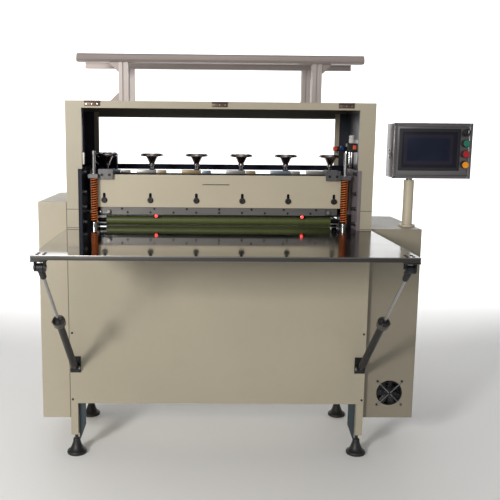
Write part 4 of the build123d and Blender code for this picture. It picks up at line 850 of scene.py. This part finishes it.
class CUTTER_OT_head(bpy.types.Operator):
    """Finish the cutting head: cover plate, keyhole screws, knife strip and nut blocks"""

    bl_idname = "cutter.head"
    bl_label = "Cutting Head"

    def execute(self, context):
        sizes = context.scene.cutter_sizes
        coat(SHELF["plate"], "head_plate")
        coat(SHELF["navy"], "head_beam")
        coat(SHELF["strip"], "knife_strip")
        coat(SHELF["ground"], "knife_blade")
        coat(SHELF["clamp"], "head_brackets")
        coat(SHELF["piston"], "pull_rods")
        radius = sizes.screw_head / MM
        screws = Piece()
        for station in STATIONS:
            screws.put(socket_screw(radius, 9.5), front(station, PLATE_FRONT - 0.6, KEYHOLE_Z))
            screws.put(turned(((0, 0), (radius + 2.6, 0), (radius + 3, 0.4), (radius + 3, 1.1),
                               (radius + 2.6, 1.4), (0, 1.4)), 28),
                       front(station, PLATE_FRONT, KEYHOLE_Z))
        for each_side, pitch, height in ((4, STATION_PITCH / 2, 1059), (3, 138, 1074)):
            for index in range(-each_side, each_side + 1):
                screws.put(socket_screw(4.6, 2.6), front(index * pitch, STRIP_FRONT, height))
        screws.done("head_screws", [SHELF["black"]], "head", ["head_bolts"])
        details = Piece()
        details.put(slab(108, 0.8, 3.4, 0.3), upright(-12, PLATE_FRONT - 0.1, 1177.4))
        details.put(turned(((0, 0), (2.6, 0), (2.9, 0.8), (2.2, 2), (0, 2.4)), 16),
                    front(-70, PLATE_FRONT, 1179), 1)
        for edge in (-470, 465):
            details.put(turned(((0, 0), (7, 0), (8, 1), (8, 7), (6.5, 8.6), (0, 9)), 24),
                        front(edge, STRIP_FRONT, 1062), 2)
        for side in (-1, 1):
            for across in (463, 494):
                details.put(socket_screw(5.6, 2.4), front(side * across, 73, 1218))
        details.done("head_details", [SHELF["black"], SHELF["rod"], SHELF["pale_block"]], "head")
        blocks = Piece()
        tints = (0, 1, 2, 1, 0, 1)
        for index, station in enumerate(STATIONS):
            edge = min(max(station - 65, -515), 515 - 130)
            blocks.put(slab(84, 36, 16, 1.4), upright(edge + 42, SCREW_Y, HEAD_TOP), tints[index])
            blocks.put(slab(40, 32, 14, 1.4), upright(edge + 108, SCREW_Y, HEAD_TOP),
                       (tints[index] + 1) % 3)
            blocks.put(ring(((6.5, 16), (6.5, 19), (11, 19), (12, 18), (12, 16)), 24),
                       upright(station, SCREW_Y, HEAD_TOP), 3)
        blocks.done("adjusting_blocks",
                    [SHELF["blue_block"], SHELF["pale_block"], SHELF["brass_block"],
                     SHELF["dark"]], "head", ["nut_blocks"])
        return {"FINISHED"}


class CUTTER_OT_springs(bpy.types.Operator):
    """Wind the two return springs"""

    bl_idname = "cutter.springs"
    bl_label = "Return Springs"

    def execute(self, context):
        sizes = context.scene.cutter_sizes
        wire_width, wire_height = 2.9, 2.0
        pitch = (SPRING_HIGH - SPRING_LOW - 2 * wire_height) / sizes.spring_turns
        for side, name in ((-1, "left"), (1, "right")):
            spring = Piece()
            spring.put(coil(sizes.spring_radius / MM, wire_width, wire_height, pitch,
                            sizes.spring_turns),
                       upright(side * ROD_X, ROD_Y, SPRING_LOW + wire_height))
            wound = spring.done(f"return_spring_{name}", [SHELF["spring"]], "frame",
                                ["die_springs"], crease=50)
            tuple(at(0, 0, 1021))
            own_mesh(wound)
        return {"FINISHED"}


class CUTTER_OT_handwheels(bpy.types.Operator):
    """Make the six adjusting handwheels with rim, spokes, hub and threaded screw"""

    bl_idname = "cutter.handwheels"
    bl_label = "Handwheels"

    def execute(self, context):
        sizes = context.scene.cutter_sizes
        thick = sizes.wheel_rim / MM / 2
        middle = sizes.wheel_radius / MM - thick
        rim = [(middle + thick * cos(tau * step / 10), thick * sin(tau * step / 10))
               for step in range(10)]
        hub = ((0, -46), (10.5, -46), (12, -44.5), (12, -34), (13.5, -31), (17, -24), (21, -15),
               (25.5, -8), (26.5, -5), (25, -3.5), (17, -6), (14, -4), (13, 2), (11.5, 4.5),
               (7, 5.5), (0, 5.5))
        spoke = ((17, -7), (middle, -5), (middle, 5), (17, 7))
        for number, station in enumerate(STATIONS, start=1):
            wheel = Piece()
            wheel.put(ring(rim, 48), upright(station, SCREW_Y, WHEEL_Z))
            wheel.put(turned(hub, 40), upright(station, SCREW_Y, WHEEL_Z))
            for turn in range(3):
                tilt = (Matrix.Rotation(tau * turn / 3 + number * 0.7, 4, "Z")
                        @ Matrix.Rotation(radians(-8), 4, "Y"))
                wheel.put(prism(spoke, 5.5, 1.2), upright(station, SCREW_Y, WHEEL_Z - 4.5) @ tilt)
            thread = [(0, 1186)] + [(6.0 if step % 2 else 5.2, 1187 + step * 0.95)
                                    for step in range(71)] + [(0, 1254)]
            wheel.put(turned(thread, 20), upright(station, SCREW_Y, 0), 1)
            wheel.put(socket_screw(2.6, 1.2), front(station, SCREW_Y - 12, 1259), 2)
            wheel.done(f"adjusting_wheel_{number}",
                       [SHELF["chrome"], SHELF["rod"], SHELF["black"]], f"handwheel_{number}",
                       [f"handwheel_{number}"])
        return {"FINISHED"}


class CUTTER_OT_bed(bpy.types.Operator):
    """Finish the bed, cheeks, rollers, the dark strip behind them as painted shade and light
    sensors between the columns
    """

    bl_idname = "cutter.bed"
    bl_label = "Bed and Rollers"

    def execute(self, context):
        coat(SHELF["rubber"], "roller_lower", "roller_upper")
        coat(SHELF["ground"], "bed_beam", "bed_knife")
        coat(SHELF["dark"], "bearing_blocks")
        coat(SHELF["rod"], "pull_cylinders")
        coat(SHELF["navy"], "rear_tie_bar")
        coat(SHELF["cheek"], "cheeks")
        bolts = Piece()
        for side in (-1, 1):
            for height in (1025, 1088, 1150, 1233):
                place = facing(at(side * CHEEK_FACE, 28, height), LEFT * side)
                bolts.put(turned(((0, 0), (9.4, 0), (10, 0.5), (10, 2), (9.4, 2.5), (0, 2.5)),
                                 24), place, 1)
                bolts.put(socket_screw(7.2, 15), place @ Matrix.Translation((0, 0, 2.4 * MM)))
        bolts.done("cheek_screws", [SHELF["black"], SHELF["rod"]], "frame",
                   ["cheek_bolts"])
        rail = Piece()
        rail.put(slab(1096, 6, 13, 0.6), upright(0, 116, 1043))
        for across in SENSOR_STATIONS:
            rail.put(slab(14, 9, 15, 0.8), upright(across, 117.5, 1035))
        rail.done("sensor_rail", [SHELF["dark"]], "frame", ["light_sensors"])
        # A dark sheet behind the rollers, put there as painted shade.
        guard = Piece()
        guard.put(slab(1132, 3, 54, 0.5), upright(0, SHADE_STRIP_Y, 1046))
        for side in (-1, 1):
            guard.put(slab(58, 3, 130, 0.5), upright(side * 537, SHADE_STRIP_Y, 1100))
        guard.done("rear_shade_strip", [SHELF["dark"]], "frame")
        lenses = Piece()
        for across in SENSOR_STATIONS:
            lenses.put(turned(((0, 0), (6.8, 0), (7, 1), (6, 3.2), (3, 4.6), (0, 5)), 24),
                       front(across, 115.4, 1042))
        lenses.done("sensor_lenses", [SHELF["light"]], "frame")
        return {"FINISHED"}


class CUTTER_OT_rack(bpy.types.Operator):
    """Finish the aluminium rack and the three guard hinges on the portal"""

    bl_idname = "cutter.rack"
    bl_label = "Rack and Hinges"

    def execute(self, context):
        coat(SHELF["aluminium"], "rack_rails", "rack_gussets")
        coat(SHELF["post"], "rack_posts")
        hinges = Piece()
        for middle in HINGE_STATIONS:
            hinges.put(slab(64, 2, 17, 0.5), upright(middle, -1, 1498.2))
            for knuckle in range(5):
                hinges.put(ring(((1.65, 0), (1.65, 12.4), (3, 12.4), (3.5, 11.9), (3.5, 0.5),
                                 (3, 0)), 20),
                           facing(at(middle - 32.2 + knuckle * 13, -3.5, 1516.5), RIGHT))
            for across in (-22, 0, 22):
                hinges.put(turned(((0, 0), (3.4, 0), (3, 1.2), (0, 1.6)), 16),
                           front(middle + across, -2, 1506), 1)
        hinges.done("guard_butterfly_hinges", [SHELF["bronze"], SHELF["rod"]], "frame",
                    ["guard_hinges"])
        corner_screws = Piece()
        for side in (-1, 1):
            for depth in (150, 450):
                corner_screws.put(socket_screw(6, 3.5), facing(at(side * 445, depth, 1680),
                                                              -UP))
        corner_screws.done("gusset_screws", [SHELF["black"]], "frame")
        return {"FINISHED"}


class CUTTER_OT_operator_panel(bpy.types.Operator):
    """Make the stainless operator box, its screen, selector and push buttons"""

    bl_idname = "cutter.operator_panel"
    bl_label = "Operator Panel"

    def execute(self, context):
        box = Piece()
        box.put(slab(328, 112, 228, 3.0, 3), upright(BOX_X, 149, 1215))
        for low in BOX_EDGES:
            box.put(slab(332, 9, 14, 2.2, 3), upright(BOX_X, BOX_FRONT + 4.5, low))
        for side in (-1, 1):
            box.put(slab(14, 9, 232, 2.2, 3),
                    upright(BOX_X + side * 159, BOX_FRONT + 4.5, BOX_EDGES[0]))
        box.put(slab(306, 4, 206, 0.6), upright(BOX_X, 91.5, 1226))
        for side in (-1, 1):
            for height in (1221, 1437):
                box.put(socket_screw(4.6, 3), front(BOX_X + side * 158, BOX_FRONT, height), 1)
        box.put(slab(5, 24, 46, 1.6), upright(727.8, 130, 1292), 1)
        for height in (1300, 1315, 1330):
            box.put(turned(((0, 0), (3.6, 0), (3.2, 1.6), (0, 2)), 14),
                    facing(at(725.4, 130, height), LEFT), 2)
        box.put(ring(((12.05, 0), (12.05, 38), (20, 38), (20, 1), (19, 0)), 28),
                upright(*MAST, 1213.2), 1)
        box.done("operator_box", [SHELF["box"], SHELF["rod"], SHELF["dark"]], "hmi",
                 ["hmi_box"])
        screen = Piece()
        screen.put(slab(259, 5, 176, 1.6, 3), upright(882.5, 87.6, 1246))
        screen.put(slab(233, 0.8, 150, 0.3), upright(882.5, 84.9, 1259), 1)
        screen.done("touch_screen", [SHELF["bezel"], SHELF["screen"]], "hmi",
                    ["hmi_screen"])
        rings = Piece()
        for height in CONTROL_HEIGHTS:
            rings.put(ring(((14, 0), (14, 3.6), (14.8, 4), (16, 3), (16, 0)), 36),
                      front(CONTROL_X, BOX_FRONT, height))
        rings.done("button_rings", [SHELF["dark"]], "hmi")
        knob = Piece()
        knob.put(turned(((0, 0.5), (13.2, 0.5), (13.6, 1), (13.6, 8), (12, 9.6), (0, 10)), 32),
                 front(CONTROL_X, BOX_FRONT, CONTROL_HEIGHTS[0]))
        knob.put(slab(8, 13, 21, 2.0, 3), upright(CONTROL_X, 69.5, 1396))
        knob.put(slab(2, 1.2, 12, 0.3), upright(CONTROL_X, 62.8, 1403.5), 1)
        knob.done("selector_handle", [SHELF["black"], SHELF["white"]], "selector",
                  ["selector_knob"])
        for height, name, tone in zip(CONTROL_HEIGHTS[1:], ("green", "red", "yellow"),
                                      ("green", "red", "amber")):
            button = Piece()
            button.put(turned(((0, 4.6), (13, 4.6), (13.6, 5.2), (13.6, 8.4), (12.4, 9.4),
                               (8, 9.1), (0, 8.7)), 36), front(CONTROL_X, BOX_FRONT, height))
            button.put(turned(((0, -18), (5, -18), (5, 5), (0, 5)), 20),
                       front(CONTROL_X, BOX_FRONT, height))
            button.done(f"push_button_{name}", [SHELF[tone]], f"button_{name}",
                        [f"button_{name}"])
        return {"FINISHED"}


class CUTTER_OT_fan(bpy.types.Operator):
    """Make the cabinet fan: square housing, wire guard and rotor"""

    bl_idname = "cutter.fan"
    bl_label = "Cooling Fan"

    def execute(self, context):
        place = facing(at(*FAN_PLACE), BACK)
        housing = Piece()
        housing.put(ring(((56, 31), (56, 56), (59.5, 56), (59.5, 31)), 48), place)
        housing.put(turned(((0, 51), (18, 51), (18, 56), (0, 56)), 32), place)
        for turn in range(4):
            arm = Matrix.Rotation(radians(20 + 90 * turn), 4, "Z")
            housing.put(slab(40, 5, 4, 0.8),
                        place @ arm @ Matrix.Translation((37 * MM, 0, 51.5 * MM)))
        guard = Piece()
        for radius in (14, 26, 38, 50):
            wire = [(radius + 1.3 * cos(tau * step / 8), 24 + 1.3 * sin(tau * step / 8))
                    for step in range(8)]
            guard.put(ring(wire, 48), place, 1)
        for turn in (45, 135, 225, 315):
            arm = Matrix.Rotation(radians(turn), 4, "Z")
            guard.put(slab(70, 2.6, 2.6, 1.0),
                      place @ arm @ Matrix.Translation((38 * MM, 0, 21.4 * MM)))
            guard.put(socket_screw(5.0, 3.4),
                      place @ arm @ Matrix.Translation((74.2 * MM, 0, 28.8 * MM))
                      @ Matrix.Rotation(pi, 4, "X"), 1)
        housing.done("fan_housing", [SHELF["black"]], "frame",
                     ["cooling_fan"])
        guard.done("fan_guard", [SHELF["rod"], SHELF["dark"]], "frame")
        rotor = Piece()
        rotor.put(turned(((0, 33), (15, 33), (18, 35), (18, 50), (0, 50)), 36), place)
        blade = ((16, -11), (54.5, -15), (54.5, 11), (16, 9))
        for turn in range(7):
            arm = (Matrix.Rotation(tau * turn / 7, 4, "Z") @ Matrix.Translation((0, 0, 40 * MM))
                   @ Matrix.Rotation(radians(24), 4, "X"))
            rotor.put(prism(blade, 1.8, 0.5), place @ arm)
        rotor.done("fan_blades", [SHELF["black"]], "fan_rotor", ["fan_rotor"])
        return {"FINISHED"}


class CUTTER_OT_air_supply(bpy.types.Operator):
    """Make the air preparation unit, its fittings, the valve box and the regulator knob"""

    bl_idname = "cutter.air_supply"
    bl_label = "Air Supply"

    def execute(self, context):
        unit = Piece()
        unit.put(slab(46, 40, 38, 3, 3), upright(589, FILTER_Y, 1318))
        unit.put(slab(15, 4, 22, 1), upright(597, 228, 1326), 3)
        bowl = ((0, 1250), (8, 1250.5), (12, 1254), (13.6, 1260), (14, 1270), (14, 1312),
                (13, 1318), (0, 1318))
        unit.put(turned(bowl, 32), upright(582, FILTER_Y, 0), 1)
        for height in (1266, 1290, 1308):
            unit.put(ring(((13.9, -1.5), (13.9, 1.5), (14.7, 1), (14.7, -1)), 32),
                     upright(582, FILTER_Y, height), 2)
        unit.put(turned(((0, 1250), (7, 1251), (9, 1256), (9, 1312), (8, 1318), (0, 1318)), 24),
                 upright(584, 218, 0), 1)
        unit.put(turned(((0, 1250), (5, 1251), (6, 1256), (6, 1312), (5, 1322), (0, 1322)), 24),
                 upright(562, 232, 0), 1)
        unit.put(slab(36, 20, 12, 2), upright(592, 220, 1318))
        unit.put(slab(58, 26, 20, 3, 3), upright(536, FILTER_Y, 1322))
        for finish, across, height in ((4, 512, 1333), (5, 542, 1335)):
            unit.put(turned(PUSH_FITTING, 24), front(across, 238, height), finish)
        unit.put(turned(((0, 1312), (7, 1312), (7, 1322), (0, 1322)), 20),
                 upright(522, FILTER_Y, 0), 2)
        unit.put(slab(15, 108, 110, 1.2), upright(619.4, FILTER_Y, 1262), 6)
        unit.done("air_unit", [SHELF["black"], SHELF["rod"], SHELF["collar"], SHELF["orange"],
                               SHELF["fitting_red"], SHELF["fitting_blue"],
                               SHELF["pale_block"]], "frame",
                  ["air_regulator", "air_manifold"])
        knob = Piece()
        knob.put(turned(((0, 1357), (11.4, 1357), (12, 1358), (12, 1376), (11, 1378), (11, 1380),
                         (12, 1382), (12, 1388), (10, 1391.5), (0, 1392)), 32),
                 upright(KNOB_X, FILTER_Y, 0))
        for turn in range(16):
            place = upright(KNOB_X, FILTER_Y, 1360) @ Matrix.Rotation(tau * turn / 16, 4, "Z")
            knob.put(slab(1.4, 1.4, 15, 0.4), place @ Matrix.Translation((11.7 * MM, 0, 0)))
        knob.done("pressure_knob", [SHELF["white"]], "regulator_knob",
                  ["regulator_knob"])
        valves = Piece()
        valves.put(slab(112, 66, 70, 3, 2), upright(-511, VALVE_Y, 1228))
        for row in range(5):
            valves.put(slab(16, 60, 8, 2), upright(-555 + row * 22, VALVE_Y, 1298))
            valves.put(turned(((0, 0), (4, 0), (4, 2), (3, 3), (0, 3.4)), 16),
                       front(-555 + row * 22, 272, 1288), 1)
        valves.done("valve_island", [SHELF["navy"], SHELF["rod"]], "frame",
                    ["valve_box"])
        pipes = Piece()
        pipes.put(pipe([at(-562, 268, 1292), at(-556, 262, 1280), at(-540, 258, 1262),
                        at(-530, 262, 1250), at(-530, 275, 1240)], 3.4),
                  Matrix.Identity(4))
        pipes.put(turned(((0, 0), (4.4, 0), (4.8, 1), (4.8, 46), (4, 48), (0, 48)), 20),
                  upright(-559.4, 8, 1264), 1)
        pipes.done("air_pipes", [SHELF["rod"], SHELF["white"]], "frame")
        return {"FINISHED"}


class CUTTER_OT_drive(bpy.types.Operator):
    """Finish the geared motor, the control gear and the cabinet door's latch"""

    bl_idname = "cutter.drive"
    bl_label = "Drive and Controls"

    def execute(self, context):
        coat(SHELF["cast"], "drive_motor")
        coat(SHELF["gear"], "control_gear")
        latch = Piece()
        for height in (330, 850):
            latch.put(turned(((0, 0), (13, 0), (14, 1), (14, 3), (12.6, 4), (0, 4)), 32),
                      facing(at(851, 60, height), RIGHT))
            latch.put(slab(3, 7, 14, 1), upright(854.6, 60, height - 7), 1)
        latch.done("door_latches", [SHELF["rod"], SHELF["black"]], "door")
        return {"FINISHED"}


class CUTTER_OT_stage(bpy.types.Operator):
    """Set up the pale studio floor, the lights and the camera"""

    bl_idname = "cutter.stage"
    bl_label = "Stage"

    def execute(self, context):
        scene = context.scene
        floor = bmesh.new()
        line = [(-9, -9, 0), (-9, 5, 0)] + [
            (-9, 5 + 3 * sin(radians(turn)), 3 - 3 * cos(radians(turn)))
            for turn in range(10, 91, 10)] + [(-9, 8, 12)]
        points = [floor.verts.new(point) for point in line]
        edges = [floor.edges.new(pair) for pair in zip(points, points[1:])]
        grown = bmesh.ops.extrude_edge_only(floor, edges=edges)["geom"]
        bmesh.ops.translate(floor, vec=(18, 0, 0), verts=[
            part for part in grown if isinstance(part, bmesh.types.BMVert)])
        bmesh.ops.recalc_face_normals(floor, faces=floor.faces)
        mesh = bpy.data.meshes.new("studio_floor")
        floor.to_mesh(mesh)
        floor.free()
        for face in mesh.polygons:
            face.use_smooth = True
        paper = Finish("studio paper")
        tone = paper.mix(paper.noise(0.6, 2.0), (0.88, 0.88, 0.88), (0.92, 0.92, 0.92))
        mesh.materials.append(paper.set(Base_Color=tone, Roughness=0.9))
        backdrop = bpy.data.objects.new("studio_floor", mesh)
        scene.collection.objects.link(backdrop)

        world = bpy.data.worlds.new("studio")
        world.use_nodes = True
        sky = world.node_tree.nodes["Background"]
        sky.inputs["Color"].default_value = (1.0, 0.99, 0.97, 1.0)
        sky.inputs["Strength"].default_value = 0.30
        scene.world = world
        scene.view_settings.view_transform = "Standard"
        for name, place, aim, size, power, tint in (
            ("key", (-2.3, -3.6, 1.9), (-0.4, 0.0, 0.9), 0.7, 128, (1.0, 0.975, 0.93)),
            ("fill", (-0.4, -4.2, 3.4), (-0.2, 0.0, 0.9), 2.4, 18, (0.95, 0.97, 1.0)),
            ("top", (-0.6, -0.4, 4.6), (-0.2, 0.1, 1.0), 3.0, 30, (1.0, 0.99, 0.98)),
            ("backdrop_left", (-3.4, 3.4, 3.4), (-1.5, 8.0, 2.2), 2.5, 260, (1.0, 1.0, 1.0)),
            ("backdrop_right", (3.4, 3.4, 3.4), (1.5, 8.0, 2.2), 2.5, 260, (1.0, 1.0, 1.0)),
        ):
            light = bpy.data.lights.new(name, "AREA")
            light.shape = "SQUARE"
            light.size = size
            light.energy = power
            light.color = tint
            lamp_object = bpy.data.objects.new(name, light)
            lamp_object.matrix_world = facing(Vector(place), Vector(place) - Vector(aim))
            scene.collection.objects.link(lamp_object)
        camera = bpy.data.cameras.new("camera")
        camera.sensor_width = 36
        camera.lens = 51.69
        camera.shift_x, camera.shift_y = 0.0872, -0.0062
        camera.clip_end = 60
        pitch, yaw, roll = radians(8.82), radians(0.86), radians(0.53)
        ahead = Vector((sin(yaw) * cos(pitch), cos(yaw) * cos(pitch), -sin(pitch)))
        level = Vector((cos(yaw), -sin(yaw), 0))
        raised = Vector((sin(yaw) * sin(pitch), cos(yaw) * sin(pitch), cos(pitch)))
        across = level * cos(roll) + raised * sin(roll)
        upward = raised * cos(roll) - level * sin(roll)
        seat = Matrix((across, upward, -ahead)).transposed().to_4x4()
        seat.translation = (-0.25225, -2.88368, 1.38477)
        viewer = bpy.data.objects.new("camera", camera)
        viewer.matrix_world = seat
        scene.collection.objects.link(viewer)
        scene.camera = viewer
        return {"FINISHED"}


class CUTTER_PT_sidebar(bpy.types.Panel):
    """Sizes, colours and pieces of the machine"""

    bl_idname = "CUTTER_PT_sidebar"
    bl_label = "Die Cutting Machine"
    bl_space_type = "VIEW_3D"
    bl_region_type = "UI"
    bl_category = "Die Cutter"

    def draw(self, context):
        column = self.layout.column()
        for group in (context.scene.cutter_sizes, context.scene.cutter_colours):
            for name in group.__annotations__:
                column.prop(group, name)
        for operator in PIECES:
            column.operator(operator.bl_idname)


PIECES = (
    CUTTER_OT_bodywork,
    CUTTER_OT_feet,
    CUTTER_OT_table,
    CUTTER_OT_struts,
    CUTTER_OT_head,
    CUTTER_OT_springs,
    CUTTER_OT_handwheels,
    CUTTER_OT_bed,
    CUTTER_OT_rack,
    CUTTER_OT_operator_panel,
    CUTTER_OT_fan,
    CUTTER_OT_air_supply,
    CUTTER_OT_drive,
    CUTTER_OT_stage,
)
CLASSES = (CutterSizes, CutterColours, *PIECES, CUTTER_PT_sidebar)


def register():
    """Register the classes and hang the settings on the scene."""
    for item in CLASSES:
        bpy.utils.register_class(item)
    bpy.types.Scene.cutter_sizes = PointerProperty(type=CutterSizes)
    bpy.types.Scene.cutter_colours = PointerProperty(type=CutterColours)


def unregister():
    """Remove the settings and the classes."""
    del bpy.types.Scene.cutter_colours
    del bpy.types.Scene.cutter_sizes
    for item in reversed(CLASSES):
        bpy.utils.unregister_class(item)


def main():
    """Make every piece in order."""
    register()
    for operator in PIECES:
        group, name = operator.bl_idname.split(".")
        getattr(getattr(bpy.ops, group), name)()


if __name__ == "__main__":
    main()
